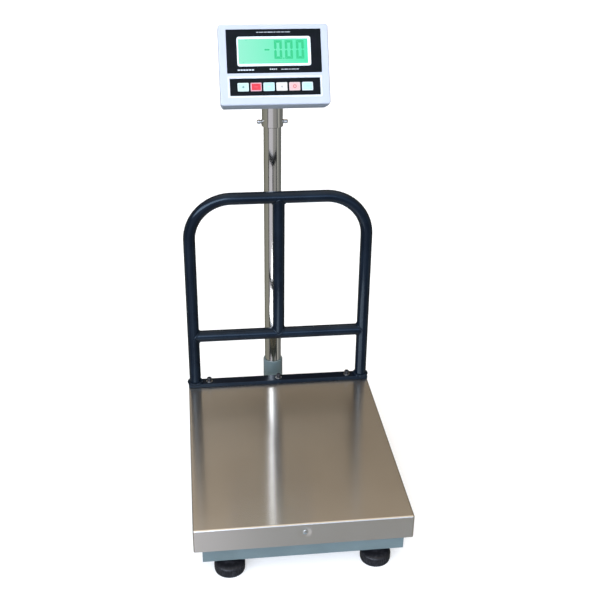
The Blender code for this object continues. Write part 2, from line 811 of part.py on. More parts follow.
def clamp_screws(bracket):
    """Thumb screws through the sleeve that lock it on the column."""
    tip = COLUMN_RADIUS + GAP
    seat = SLEEVE_RADIUS + GAP
    profile = [
        (0, tip),
        (0.0027, tip),
        (0.0027, seat + 0.0015),
        (0.0042, seat + 0.0018),
        (0.0046, seat + 0.0030),
        (0.0046, seat + 0.0085),
        (0.0036, seat + 0.0102),
        (0, seat + 0.0106),
    ]
    level = CLAMP_Z - TILT_Z
    for side, turn in (("right", 0), ("left", math.pi)):
        screw = turned(profile, 12, "X")
        name = f"clamp_screw_{side}"
        solid(name, screw, polished_steel(), bracket, (0, 0, level), (0, 0, turn))


def tilt_bolt(bracket):
    seat = YOKE_INNER + YOKE_PLATE + GAP
    profile = [
        (0, -seat - M8_HEAD),
        (M8_FLATS, -seat - M8_HEAD, True),
        (M8_FLATS, -seat, True),
        (M8_RADIUS, -seat),
        (M8_RADIUS, seat + 0.009),
        (0, seat + 0.009),
    ]
    solid("tilt_bolt", turned(profile, 12, "X"), zinc(), bracket)


def case_shells(head):
    """The two halves of the indicator's case. Both are in the frame of the tilt axis, with the
    front face at -FACE_FORWARD and the face's centre at FACE_RISE."""
    half_x, half_z = CASE_WIDTH / 2, CASE_HEIGHT / 2
    split = -FACE_FORWARD + FRONT_DEPTH
    low = (-half_x, -FACE_FORWARD, FACE_RISE - half_z)
    high = (half_x, split, FACE_RISE + half_z)
    front = solid("front_case", open_box(low, high, (0, 1, 0)), case_white(), head)
    fold_shell(front, CASE_EDGE, CASE_WALL)
    for (width, height), z in ((DISPLAY_SIZE, DISPLAY_Z), (KEYPAD_SIZE, KEYPAD_Z)):
        recess = block(
            (-width / 2 - GAP, -FACE_FORWARD - RECESS, FACE_RISE + z - height / 2 - GAP),
            (width / 2 + GAP, -FACE_FORWARD + RECESS, FACE_RISE + z + height / 2 + GAP),
        )
        combine(front, recess)
    slot = (5 * KEY_PITCH + KEY_SIZE[0] + 0.006, KEY_SIZE[1] + 0.004)
    for (width, height), z in ((WINDOW_SIZE, WINDOW_Z), (slot, KEYPAD_Z)):
        opening = block(
            (-width / 2, -FACE_FORWARD - CASE_WALL, FACE_RISE + z - height / 2),
            (width / 2, -FACE_FORWARD + 2 * CASE_WALL, FACE_RISE + z + height / 2),
        )
        combine(front, opening)
    rear_case(head, split + GAP)


def rear_case(head, split):
    half_x, half_z = CASE_WIDTH / 2, CASE_HEIGHT / 2
    back = -FACE_FORWARD + CASE_DEPTH
    low = (-half_x, split, FACE_RISE - half_z)
    high = (half_x, back, FACE_RISE + half_z)
    shell = open_box(low, high, (0, -1, 0))
    everything = [*shell.verts, *shell.edges, *shell.faces]
    bmesh.ops.bisect_plane(
        shell, geom=everything, plane_co=(0, split + REAR_BAND, 0), plane_no=(0, 1, 0)
    )
    rim = [vert for vert in shell.verts if vert.co.y > back - GAP]
    for vert in rim:
        vert.co.x -= math.copysign(REAR_TAPER[0], vert.co.x)
        vert.co.z -= math.copysign(REAR_TAPER[1], vert.co.z - FACE_RISE)
    rear = solid("rear_case", shell, case_white(), head)
    fold_shell(rear, CASE_EDGE, CASE_WALL)
    lug = YOKE_INNER - GAP
    root = back - CASE_WALL / 2
    combine(rear, block((-lug, root, -PIVOT_RADIUS), (lug, 0, PIVOT_RADIUS)), "UNION")
    combine(rear, rod(PIVOT_RADIUS, (-lug, 0, 0), (lug, 0, 0), 20), "UNION")
    combine(rear, rod(M8_HOLE, (-2 * lug, 0, 0), (2 * lug, 0, 0)))
    level = FACE_RISE + PORT_Z
    inlet = block(
        (PORT_X - 0.0123, back - 0.006, level - 0.0093),
        (PORT_X + 0.0123, back + 0.003, level + 0.0093),
    )
    combine(rear, inlet)
    combine(rear, rod(0.0063, (-PORT_X, back - 0.006, level), (-PORT_X, back + 0.003, level)))


def faceplates(head):
    """The printed display panel, the display module in its window and the keypad panel."""
    face = -FACE_FORWARD - GAP
    outline = rounded_outline(*DISPLAY_SIZE, 0.0015)
    at = (0, face, FACE_RISE + DISPLAY_Z)
    panel = solid("display_panel", upright_outline(outline, 0, RECESS), black_plastic(), head, at)
    width, height = WINDOW_SIZE
    shift = WINDOW_Z - DISPLAY_Z
    combine(panel, upright_outline(rounded_outline(width, height, 0.005, shift), -0.002, 0.004))
    outline = rounded_outline(width - 2 * GAP, height - 2 * GAP, 0.005 - GAP)
    module = upright_outline(outline, 0, 0.007)
    green = material("display_green", (0.35, 0.85, 0.55), 0.25)
    at = (0, -FACE_FORWARD + GAP, FACE_RISE + WINDOW_Z)
    solid("lcd_module", module, green, head, at)
    outline = rounded_outline(*KEYPAD_SIZE, 0.001)
    at = (0, face, FACE_RISE + KEYPAD_Z)
    keypad = solid("keypad_panel", upright_outline(outline, 0, RECESS), black_plastic(), head, at)
    for x in key_places():
        hole = block(
            (x - KEY_SIZE[0] / 2 - GAP, -0.002, -KEY_SIZE[1] / 2 - GAP),
            (x + KEY_SIZE[0] / 2 + GAP, 0.004, KEY_SIZE[1] / 2 + GAP),
        )
        combine(keypad, hole)


def key_places():
    return [(number - 2.5) * KEY_PITCH for number in range(6)]


def keys(head):
    colours = (
        (0.70, 0.90, 0.84),
        (0.80, 0.05, 0.10),
        (0.66, 0.90, 0.90),
        (0.90, 0.90, 0.86),
        (0.92, 0.66, 0.64),
        (0.70, 0.84, 0.90),
    )
    for number, (x, colour) in enumerate(zip(key_places(), colours), 1):
        cap = upright_outline(rounded_outline(*KEY_SIZE, 0.0015), 0, KEY_DEPTH)
        at = (x, -FACE_FORWARD - GAP - KEY_PROUD, FACE_RISE + KEYPAD_Z)
        finish = material(f"key_{number}_colour", colour, 0.45)
        solid(f"key_{number}", cap, finish, head, at)


def indicator_inside(head):
    """The circuit board and the rechargeable battery."""
    board = block((-0.095, -0.050, FACE_RISE - 0.065), (0.095, -0.0484, FACE_RISE + 0.065))
    green = material("board_green", (0.02, 0.20, 0.08), 0.5)
    solid("circuit_board", board, green, head)
    battery = block((-0.048, -0.046, FACE_RISE - 0.055), (0.048, -0.018, FACE_RISE + 0.005))
    grey = material("battery_grey", (0.12, 0.12, 0.13), 0.6)
    solid("battery", battery, grey, head)


def indicator_ports(head):
    """The mains inlet and the gland for the load cell's lead, both in the back of the case."""
    back = -FACE_FORWARD + CASE_DEPTH
    level = FACE_RISE + PORT_Z
    flange = block((-0.014, GAP, -0.011), (0.014, 0.0018, 0.011))
    inlet = solid("power_inlet", flange, black_plastic(), head, (PORT_X, back, level))
    combine(inlet, block((-0.012, -0.013, -0.009), (0.012, 0.001, 0.009)), "UNION")
    combine(inlet, block((-0.009, -0.010, -0.006), (0.009, 0.003, 0.006)))
    bore = CABLE_RADIUS + GAP
    profile = [
        (bore, -0.008),
        (0.006, -0.008),
        (0.006, GAP),
        (0.0085, GAP, True),
        (0.0085, 0.004, True),
        (0.0072, 0.0042),
        (0.0072, 0.009),
        (0.005, 0.012),
        (bore, 0.012),
    ]
    at = (-PORT_X, back, level)
    solid("cable_gland", turned(profile, 12, "Y"), black_plastic(), head, at)


def build_base():
    base = empty("base_frame_origin", (0, 0, 0))
    base_rails(base)
    half_width = BASE_WIDTH / 2 - RAIL - GAP
    face = CELL_UNDERSIDE - GAP
    y = PLATTER_Y - CELL_END
    cross_plate("base_cross_plate", half_width, y, face, 1, frame_paint(), base)
    load_cell(base)
    below = CELL_UNDERSIDE - 2 * GAP - BOSS_HEIGHT - PLATE_THICKNESS
    cell_bolts(base, Vector((0, 0, 0)), -CELL_END, below, (math.pi, 0, 0), "base")
    overload_stops(base)
    column_arm(base)
    column(base)
    load_cell_cable(base)


def build_feet():
    rows = {"front": BASE_FRONT + RAIL / 2, "rear": BASE_REAR - RAIL / 2}
    for row, y in rows.items():
        for side, sign in (("left", -1), ("right", 1)):
            foot(f"foot_{row}_{side}", sign * FOOT_X, y)


def build_deck():
    """Everything that the load cell weighs, in a frame at the centre of the platter's top."""
    origin = Vector((0, PLATTER_Y, PLATTER_TOP))
    deck = empty("deck_origin", origin)
    platter(deck)
    platter_screw(deck)
    deck_frame(deck)
    above = CELL_UNDERSIDE + CELL_HEIGHT + 2 * GAP + BOSS_HEIGHT + PLATE_THICKNESS
    cell_bolts(deck, origin, CELL_END, above, (0, 0, 0), "deck")
    guard_base_bar(deck)
    guard_hoop(deck)
    guard_cross_members(deck)
    guard_bolts(deck)


def build_head():
    """The bracket turns about the column, and the indicator tilts about the bracket's bolt."""
    bracket = empty("swivel_origin", (0, COLUMN_Y, TILT_Z))
    bracket_sleeve(bracket)
    bracket_yoke(bracket)
    clamp_screws(bracket)
    tilt_bolt(bracket)
    head = empty("tilt_origin", (0, 0, 0), (-TILT_BACK, 0, 0), bracket)
    case_shells(head)
    faceplates(head)
    keys(head)
    indicator_inside(head)
    indicator_ports(head)


clear_scene()
build_base()
build_feet()
build_deck()
build_head()
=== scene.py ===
"""The looks of the platform shipping scale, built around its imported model.

Metres, +Z up, -Y towards the operator. Pieces of the indicator are made in the frame of its tilt
axis, where +Y goes into the case and +Z goes up its face.
"""

import itertools
import json
import math

import bmesh
import bpy
from mathutils import Matrix, Vector


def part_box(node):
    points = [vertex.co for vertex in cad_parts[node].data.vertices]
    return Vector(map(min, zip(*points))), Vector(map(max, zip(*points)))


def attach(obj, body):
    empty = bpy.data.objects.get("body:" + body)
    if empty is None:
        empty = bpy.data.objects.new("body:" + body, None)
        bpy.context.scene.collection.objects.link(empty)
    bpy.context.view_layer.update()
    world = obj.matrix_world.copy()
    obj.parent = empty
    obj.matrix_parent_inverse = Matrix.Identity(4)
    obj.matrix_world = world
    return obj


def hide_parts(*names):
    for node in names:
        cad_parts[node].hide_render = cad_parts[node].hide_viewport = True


SHARP = math.radians(35)
GAP = 0.0003
UPRIGHT = Matrix.Identity(4)
# An M8 hexagon bolt: its radius, half its width across flats, its head's height and its hole.
M8, M8_FLATS, M8_HEAD, M8_HOLE = 0.004, 0.0065, 0.0053, 0.0043
TUBE_CORNER, TUBE_WALL = 0.003, 0.002
BEAD_STEPS = 72

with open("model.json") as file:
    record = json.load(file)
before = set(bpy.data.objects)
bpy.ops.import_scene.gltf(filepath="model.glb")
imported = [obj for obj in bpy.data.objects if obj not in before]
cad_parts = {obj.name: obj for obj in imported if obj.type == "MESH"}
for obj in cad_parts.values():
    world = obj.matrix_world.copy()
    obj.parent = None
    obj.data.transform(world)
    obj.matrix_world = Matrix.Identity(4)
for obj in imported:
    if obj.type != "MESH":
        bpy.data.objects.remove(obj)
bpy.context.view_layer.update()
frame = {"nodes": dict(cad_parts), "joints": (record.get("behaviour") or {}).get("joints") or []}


# ---------------- materials


class Nodes:
    """A node tree that is added to. Values are constants, or the outputs of other nodes."""

    def __init__(self, tree):
        self.tree = tree

    def feed(self, value, socket):
        if isinstance(value, bpy.types.NodeSocket):
            self.tree.links.new(value, socket)
        else:
            socket.default_value = value

    def node(self, kind, values=None, **settings):
        """A node with these values in its sockets."""
        made = self.tree.nodes.new("ShaderNode" + kind)
        for key, value in settings.items():
            setattr(made, key, value)
        for socket, value in (values or {}).items():
            self.feed(value, made.inputs[socket])
        return made

    def ranged(self, value, start, end, low=0, high=1):
        """Maps a value from start..end to low..high."""
        values = {"Value": value, "From Min": start, "From Max": end, "To Min": low, "To Max": high}
        return self.node("MapRange", values).outputs["Result"]

    def mixed(self, share, *colours):
        """Goes from one colour to another."""
        lower, upper = ((*part, 1) if isinstance(part, tuple) else part for part in colours)
        return self.node("Mix", {0: share, 6: lower, 7: upper}, data_type="RGBA").outputs[2]

    def ramp(self, value, low, high, stops):
        """Colours at places between low and high. Each stop is a place, then a colour."""
        made = self.node("ValToRGB", {"Fac": self.ranged(value, low, high)})
        elements = made.color_ramp.elements
        while len(elements) < len(stops):
            elements.new(0.5)
        for element, (place, *colour) in zip(elements, stops):
            element.position = (place - low) / (high - low)
            element.color = (*colour, 1)
        return made.outputs["Color"]


class Finish(Nodes):
    """A Principled material and its slot. Other sockets go by their names as keywords. A grain is
    a noise that changes the surface: (scale, detail, stretch)."""

    def __init__(self, name, slot, colour, roughness, **sockets):
        self.material = bpy.data.materials.new(name)
        self.material.use_nodes = True
        super().__init__(self.material.node_tree)
        self.slot, self.colour, self.roughness = slot, colour, roughness
        self.inputs = self.tree.nodes["Principled BSDF"].inputs
        self.inputs["Base Color"].default_value = (*colour, 1)
        self.inputs["Roughness"].default_value = roughness
        for socket, value in sockets.items():
            self.inputs[socket.replace("_", " ")].default_value = value

    def noise(self, scale, detail=3.0, stretch=(1, 1, 1)):
        """Noise from 0 to 1 in the object's own metres, squeezed along each axis by stretch."""
        place = self.node("TexCoord").outputs["Object"]
        place = self.node("Mapping", {"Vector": place, "Scale": stretch}).outputs["Vector"]
        values = {"Vector": place, "Scale": scale, "Detail": detail}
        return self.node("TexNoise", values).outputs["Fac"]

    def tint(self, grain, colour, start=0.4, end=0.7):
        """Mixes the base colour towards another where the grain is high."""
        share = self.ranged(self.noise(*grain), start, end)
        self.feed(self.mixed(share, self.colour, colour), self.inputs["Base Color"])

    def gloss(self, grain, spread):
        """Varies the roughness, to spread above and below its constant."""
        low, high = self.roughness - spread, self.roughness + spread
        self.feed(self.ranged(self.noise(*grain), 0.3, 0.7, low, high), self.inputs["Roughness"])

    def bump(self, grain, depth, strength=1.0):
        """Adds relief of a depth in metres."""
        values = {"Height": self.noise(*grain), "Distance": depth, "Strength": strength}
        self.feed(self.node("Bump", values).outputs["Normal"], self.inputs["Normal"])


def plain_print(name, slot, colour):
    """Printed or moulded colour with slight mottling."""
    finish = Finish(name, slot, colour, 0.4)
    finish.tint((400,), tuple(0.88 * part for part in colour))
    finish.bump((1500, 2), 0.00002, 0.5)
    return finish


def glowing_print(name, colour):
    """A mark that shines as part of the display."""
    finish = Finish(name, "display_green", tuple(0.1 * part for part in colour), 0.4)
    finish.inputs["Emission Color"].default_value = (*colour, 1)
    finish.inputs["Emission Strength"].default_value = 1.0
    finish.bump((1500, 2), 0.00002, 0.5)
    return finish


def display_light():
    """The backlit display, paler towards its left."""
    finish = Finish("display_light", "display_green", (0.01, 0.03, 0.02), 0.3)
    finish.inputs["Specular IOR Level"].default_value = 0.2
    finish.inputs["Emission Strength"].default_value = 1.0
    axes = finish.node("SeparateXYZ", {"Vector": finish.node("TexCoord").outputs["Object"]})
    half = 0.068
    stops = ((-half, 0.29, 0.86, 0.62), (half, 0.06, 0.82, 0.43))
    finish.feed(finish.ramp(axes.outputs["X"], -half, half, stops), finish.inputs["Emission Color"])
    finish.bump((700, 2), 0.00001)
    return finish


# Stainless sheet brushed across its width, so that its reflections draw out along its depth.
STEEL = Finish(
    "brushed_sheet", "brushed_stainless", (0.63, 0.59, 0.53), 0.2, Metallic=1.0, Anisotropic=1.0
)
BRUSHING = STEEL.node("Tangent", direction_type="UV_MAP", uv_map="grain")
STEEL.feed(BRUSHING.outputs["Tangent"], STEEL.inputs["Tangent"])
STEEL.tint((6, 3), (0.59, 0.545, 0.48), 0.42, 0.75)
STEEL.gloss((50, 4, (0.4, 60, 60)), 0.015)
STEEL.bump((50, 4, (0.4, 60, 60)), 0.00001, 0.05)

# Polished stainless tube with fine drawn lines along it.
CHROME = Finish("polished_tube", "polished_steel", (0.62, 0.605, 0.58), 0.13, Metallic=1.0)
CHROME.tint((18, 3, (1, 1, 0.2)), (0.5, 0.49, 0.46), 0.5, 0.8)
CHROME.gloss((60, 3, (14, 14, 1)), 0.04)
CHROME.bump((60, 3, (14, 14, 1)), 0.00001, 0.25)

ZINC = Finish("zinc", "zinc_plate", (0.56, 0.56, 0.54), 0.3, Metallic=1.0)
ZINC.tint((160,), (0.4, 0.4, 0.37))
ZINC.gloss((420, 2), 0.08)
ZINC.bump((420, 2), 0.00003)

OXIDE = Finish("blackened_steel", "black_oxide", (0.03, 0.03, 0.034), 0.38, Metallic=0.6)
OXIDE.tint((300,), (0.05, 0.05, 0.055))
OXIDE.gloss((500,), 0.06)
OXIDE.bump((900, 2), 0.00003)

# Grey-green semi-gloss enamel with a slight orange peel.
FRAME = Finish("frame_enamel", "frame_paint", (0.132, 0.175, 0.177), 0.36, Coat_Weight=0.05)
FRAME.inputs["Coat Roughness"].default_value = 0.2
FRAME.tint((14, 4), (0.11, 0.149, 0.151))
FRAME.gloss((40,), 0.06)
FRAME.bump((620, 2), 0.00004, 0.6)

# Near-black navy gloss enamel over tube.
GUARD = Finish("guard_enamel", "guard_paint", (0.0014, 0.004, 0.0095), 0.13)
GUARD.inputs["Specular IOR Level"].default_value = 0.26
GUARD.inputs["Specular Tint"].default_value = (0.7, 0.87, 1.0, 1)
GUARD.tint((22, 4), (0.004, 0.008, 0.015))
GUARD.gloss((60,), 0.05)
GUARD.bump((480, 2), 0.00005, 0.5)

# White plastic with a faint blue cast and a fine spark-eroded texture.
WHITE = Finish(
    "moulded_white", "case_white", (0.455, 0.485, 0.545), 0.42, Specular_IOR_Level=0.3
)
WHITE.tint((30,), (0.44, 0.47, 0.53))
WHITE.gloss((90,), 0.05)
WHITE.bump((1500, 2), 0.00003, 0.5)

FILM = Finish("panel_film", "panel_black", (0.004, 0.006, 0.007), 0.34, Specular_IOR_Level=0.05)
FILM.tint((45,), (0.006, 0.007, 0.01))
FILM.gloss((120,), 0.05)
FILM.bump((900, 2), 0.00002, 0.5)

PORT = Finish("port_plastic", "port_black", (0.014, 0.014, 0.016), 0.45)
PORT.tint((200,), (0.022, 0.022, 0.024))
PORT.bump((1200, 2), 0.00004)

# Black rubber with a little dust.
RUBBER = Finish(
    "ribbed_rubber", "foot_rubber", (0.008, 0.008, 0.01), 0.42, Specular_IOR_Level=0.3
)
RUBBER.tint((150, 4), (0.035, 0.034, 0.04), 0.5, 0.85)
RUBBER.gloss((80,), 0.1)
RUBBER.bump((900, 2), 0.00005)

ALLOY = Finish("cell_alloy", "cell_aluminium", (0.66, 0.67, 0.68), 0.35, Metallic=1.0)
ALLOY.gloss((90, 3, (1, 12, 1)), 0.08)
ALLOY.bump((90, 3, (1, 12, 1)), 0.00003)

BOARD = Finish("board_laminate", "board_green", (0.012, 0.11, 0.04), 0.35)
BOARD.tint((260, 4), (0.02, 0.18, 0.07), 0.5, 0.6)
BOARD.bump((300,), 0.0001)

LIGHT = display_light()
DIGIT = glowing_print("digit_green", (0.0, 0.54, 0.2))
MARK = glowing_print("mark_green", (0.08, 0.7, 0.42))
BEZEL = plain_print("bezel_white", "display_green", (0.8, 0.88, 0.86))
# The keypad rim is the case's own white plastic, coloured paler than the case as a painted highlight
# along the raised ridge.
RIM_HIGHLIGHT = plain_print("rim_painted_highlight", "case_white", (0.62, 0.66, 0.7))
INK = plain_print("panel_ink", "panel_black", (0.55, 0.6, 0.62))
SHEATH = plain_print("cable_sheath", "cable_sheath", (0.05, 0.05, 0.055))
BATTERY = plain_print("battery_case", "battery_grey", (0.1, 0.1, 0.11))


# ---------------- mesh building


def box(node):
    """A node's low and high corners and its middle."""
    low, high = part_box(node)
    return low, high, (low + high) / 2


def mesh_of(name, bm):
    """The mesh of a shape, smooth but for its sharp edges."""
    bmesh.ops.recalc_face_normals(bm, faces=bm.faces)
    mesh = bpy.data.meshes.new(name)
    bm.to_mesh(mesh)
    bm.free()
    mesh.shade_smooth()
    mesh.set_sharp_from_angle(angle=SHARP)
    return mesh


def put(name, data, at=UPRIGHT):
    """A new object in the scene."""
    obj = bpy.data.objects.new(name, data)
    bpy.context.scene.collection.objects.link(obj)
    obj.matrix_world = at
    return obj


def piece(name, bm, finish, body, stands_for=(), at=UPRIGHT, edge=0.0):
    """A named piece that rides on a body. edge rounds its sharp edges by that much."""
    obj = put(name, mesh_of(name, bm), at)
    obj.data.materials.append(finish.material)
    if edge:
        bevel = obj.modifiers.new("edge", "BEVEL")
        bevel.width = edge
        bevel.segments = 3
        bevel.limit_method = "ANGLE"
        bevel.harden_normals = True
    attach(obj, body)
    if stands_for:
        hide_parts(*stands_for)
    obj.modifiers.new("weigh_normals", "WEIGHTED_NORMAL").keep_sharp = True
    return obj


def loft(rings, caps=True):
    """A skin through rings of points. With caps its ends are filled, otherwise the last ring joins
    the first. A ring of one point is a tip."""
    bm = bmesh.new()
    made = [[bm.verts.new(point) for point in ring] for ring in rings]
    pairs = list(zip(made, made[1:]))
    if not caps:
        pairs.append((made[-1], made[0]))
    for lower, upper in pairs:
        count = max(len(lower), len(upper))
        for i in range(count):
            j = (i + 1) % count
            corners = [lower[i % len(lower)], lower[j % len(lower)]]
            corners += [upper[j % len(upper)], upper[i % len(upper)]]
            bm.faces.new(list(dict.fromkeys(corners)))
    if caps:
        for ring in (made[0], made[-1]):
            if len(ring) > 2:
                bm.faces.new(ring)
    return bm


def placed(bm, at):
    bmesh.ops.transform(bm, matrix=at, verts=bm.verts)
    return bm


def shifted(x, y, z):
    return Matrix.Translation((x, y, z))


def along(axis):
    """The turn that takes +Z to +X or +Y."""
    if axis == "X":
        return Matrix.Rotation(math.pi / 2, 4, "Y")
    return Matrix.Rotation(-math.pi / 2, 4, "X")


def round_ring(radius, z, sides, shape=None):
    """A ring about Z. shape(angle) scales its radius."""
    if radius == 0:
        return [(0, 0, z)]
    points = []
    for i in range(sides):
        angle = math.tau * i / sides
        reach = radius * (shape(angle) if shape else 1)
        points.append((reach * math.cos(angle), reach * math.sin(angle), z))
    return points


def hexagon(angle):
    """How much further a hexagon reaches than the circle inside it."""
    return 1 / math.cos((angle + math.pi / 6) % (math.pi / 3) - math.pi / 6)


def turned(profile, sides, at=UPRIGHT):
    """Revolves (radius, height) points about Z, where a third value shapes that ring. The profile
    closes on itself unless it starts and ends on the axis."""
    rings = [round_ring(point[0], point[1], sides, *point[2:]) for point in profile]
    return placed(loft(rings, caps=profile[0][0] == 0), at)


def fillet(corner, radius, start, end, steps):
    """Points (a, b) round a corner's centre, from one angle to another in degrees."""
    points = []
    for i in range(steps + 1):
        angle = math.radians(start + (end - start) * i / steps)
        points.append((corner[0] + radius * math.cos(angle), corner[1] + radius * math.sin(angle)))
    return points


def rounded(width, height, radius, centre=(0, 0), steps=6):
    """Points (a, b) of a rounded rectangle."""
    points = []
    for quarter, (sa, sb) in enumerate(((1, 1), (-1, 1), (-1, -1), (1, -1))):
        corner = (centre[0] + sa * (width / 2 - radius), centre[1] + sb * (height / 2 - radius))
        points += fillet(corner, radius, 90 * quarter, 90 * quarter + 90, steps)
    return points


def slab(width, height, radius, profile, centre=(0, 0), steps=6):
    """Stacks rounded rectangles along Y. profile holds (inset, y) pairs."""
    rings = []
    for inset, y in profile:
        corner = max(radius - inset, 0.0002)
        outline = rounded(width - 2 * inset, height - 2 * inset, corner, centre, steps)
        rings.append([(a, y, b) for a, b in outline])
    return rings


def plate(width, height, radius, front, back, edge=0.0003, centre=(0, 0)):
    """A plate across Y with softened edges."""
    soft = 0.3 * edge
    profile = [(edge, front), (soft, front + soft), (0, front + edge)]
    profile += [(0, back - edge), (soft, back - soft), (edge, back)]
    return loft(slab(width, height, radius, profile, centre))


def framed(outer, inner, front, back, edge):
    """A plate across Y with a window. outer and inner are (width, height, radius, centre)."""
    rings = []
    for (width, height, radius, centre), sign in ((outer, 1), (inner, -1)):
        grow = [(sign * edge, front), (0, front + edge), (0, back)]
        rings += slab(width, height, radius, grow if sign > 0 else grow[::-1], centre)
    return loft(rings, caps=False)


def cuboid(low, high):
    low, high = Vector(low), Vector(high)
    bm = bmesh.new()
    bmesh.ops.create_cube(bm, size=1.0)
    bmesh.ops.scale(bm, vec=high - low, verts=bm.verts)
    bmesh.ops.translate(bm, vec=(low + high) / 2, verts=bm.verts)
    return bm


def rod(radius, start, end, sides=32):
    start, end = Vector(start), Vector(end)
    turn = Vector((0, 0, 1)).rotation_difference(end - start).to_matrix().to_4x4()
    length = (end - start).length
    profile = [(0, 0), (radius, 0), (radius, length), (0, length)]
    return turned(profile, sides, Matrix.Translation(start) @ turn)


def sweep(path, radius, sides, closed=False):
    """A tube along a path. radius is a number, or a function of the share of the path and of the
    angle round it."""
    path = [Vector(point) for point in path]
    count = len(path)
    normal = None
    rings = []
    for i, here in enumerate(path):
        before = path[i - 1] if closed or i else here
        after = path[(i + 1) % count] if closed or i + 1 < count else here
        tangent = (after - before).normalized()
        if normal is None:
            normal = tangent.orthogonal().normalized()
        normal = (normal - tangent * normal.dot(tangent)).normalized()
        side = tangent.cross(normal)
        ring = []
        for k in range(sides):
            angle = math.tau * k / sides
            reach = radius(i / count, angle) if callable(radius) else radius
            ring.append(here + reach * (math.cos(angle) * normal + math.sin(angle) * side))
        rings.append(ring)
    return loft(rings, caps=not closed)


def merged(*parts):
    """Several shapes in one mesh."""
    whole = bmesh.new()
    for part in parts:
        mesh = mesh_of("part", part)
        whole.from_mesh(mesh)
        bpy.data.meshes.remove(mesh)
    return whole


def carve(obj, bm, operation="DIFFERENCE"):
    """Cuts or adds a shape given in the object's own frame, and applies it."""
    tool = put("tool", mesh_of("tool", bm), obj.matrix_world)
    kept = [modifier.name for modifier in obj.modifiers]
    for name in kept:
        obj.modifiers[name].show_viewport = False
    cut = obj.modifiers.new("cut", "BOOLEAN")
    cut.operation = operation
    cut.object = tool
    bpy.context.view_layer.update()
    graph = bpy.context.evaluated_depsgraph_get()
    obj.data = bpy.data.meshes.new_from_object(obj.evaluated_get(graph))
    obj.modifiers.remove(cut)
    for name in kept:
        obj.modifiers[name].show_viewport = True
    bpy.data.objects.remove(tool)
    obj.data.set_sharp_from_angle(angle=SHARP)


def weld(name, path, body, size, ripple=0.0011, closed=True, finish=GUARD):
    """A bead of overlapping ripples along a path."""
    points = [Vector(point) for point in path]
    length = sum((b - a).length for a, b in zip(points, points[1:]))
    ripples = max(3, round(length / (2 * ripple)))

    def reach(share, angle):
        return size * (1 + 0.1 * math.cos(math.tau * ripples * share) + 0.03 * math.sin(3 * angle))

    piece(name, sweep(points, reach, 12, closed), finish, body)


def circle(centre, radius):
    """Points round a level circle."""
    return [Vector(centre) + Vector(point) for point in round_ring(radius, 0, BEAD_STEPS)]


def hex_head(radius, flats, head, shank):
    """A hexagon bolt: chamfered head above z 0, round shank below it."""
    chamfer = 0.12 * flats
    profile = [(0, head), (0.88 * flats, head), (flats, head - chamfer, hexagon)]
    profile += [(flats, 0, hexagon), (radius, 0), (radius, -shank), (0, -shank - 0.4 * radius)]
    return profile


def hex_nut(bore, flats, low, high):
    """A nut between two heights, chamfered on both faces."""
    chamfer = 0.12 * flats
    profile = [(bore, low), (0.9 * flats, low), (flats, low + chamfer, hexagon)]
    return profile + [(flats, high - chamfer, hexagon), (0.9 * flats, high), (bore, high)]


def washer(bore, radius, low, high):
    soft = 0.0002
    profile = [(bore, low), (radius - soft, low), (radius, low + soft)]
    return profile + [(radius, high - soft), (radius - soft, high), (bore, high)]


def threaded(radius, pitch, low, high):
    """A screw thread between two heights."""
    depth = 0.3 * pitch
    steps = max(2, round((high - low) / (pitch / 6)))
    rings = [[(0, 0, low)]]
    for step in range(steps + 1):
        z = low + (high - low) * step / steps
        fade = min(1, (high - z) / pitch + 0.2)

        def crest(angle, z=z, fade=fade):
            wave = 0.5 - 0.5 * math.cos(math.tau * z / pitch - angle)
            return 1 - fade * depth * wave / radius - (1 - fade) * depth / radius

        rings.append(round_ring(radius, z, 28, crest))
    rings.append([(0, 0, high)])
    return loft(rings)


def section_tube(node, axis, body, ends=(False, False)):
    """A rectangular tube along X or Y in place of a node. ends says which of its ends are closed."""
    low, high, middle = box(node)
    run = 0 if axis == "X" else 1
    across = 1 - run
    size = high - low
    soft = 0.0006

    def ring(inset, place):
        width, height = size[across] - 2 * inset, size.z - 2 * inset
        points = []
        for a, b in rounded(width, height, max(TUBE_CORNER - inset, 0.0005)):
            point = [0, 0, middle.z + b]
            point[run] = place
            point[across] = middle[across] + a
            points.append(point)
        return points

    start, end = low[run], high[run]
    rings = [ring(soft, start), ring(0, start + soft), ring(0, end - soft), ring(soft, end)]
    if not ends[1]:
        inside = start + (TUBE_WALL if ends[0] else 0)
        rings += [ring(TUBE_WALL, end), ring(TUBE_WALL, inside)]
    elif not ends[0]:
        rings = rings[::-1] + [ring(TUBE_WALL, start), ring(TUBE_WALL, end - TUBE_WALL)]
    piece(f"{node}_tube", loft(rings, any(ends)), FRAME, body, [node])


# ---------------- deck and guard


def grain_map(obj, corner):
    """A UV map whose U runs across the brush lines, as the flat blank had them before folding."""
    layer = obj.data.uv_layers.new(name="grain")
    for face in obj.data.polygons:
        normal = face.normal
        for loop in face.loop_indices:
            x, y, z = obj.data.vertices[obj.data.loops[loop].vertex_index].co
            drop = 0 if abs(normal.z) > 0.7 else corner.z - z
            if abs(normal.y) > abs(normal.x):
                y += math.copysign(drop, normal.y)
            else:
                x += math.copysign(drop, normal.x)
            layer.data[loop].uv = (y, x)


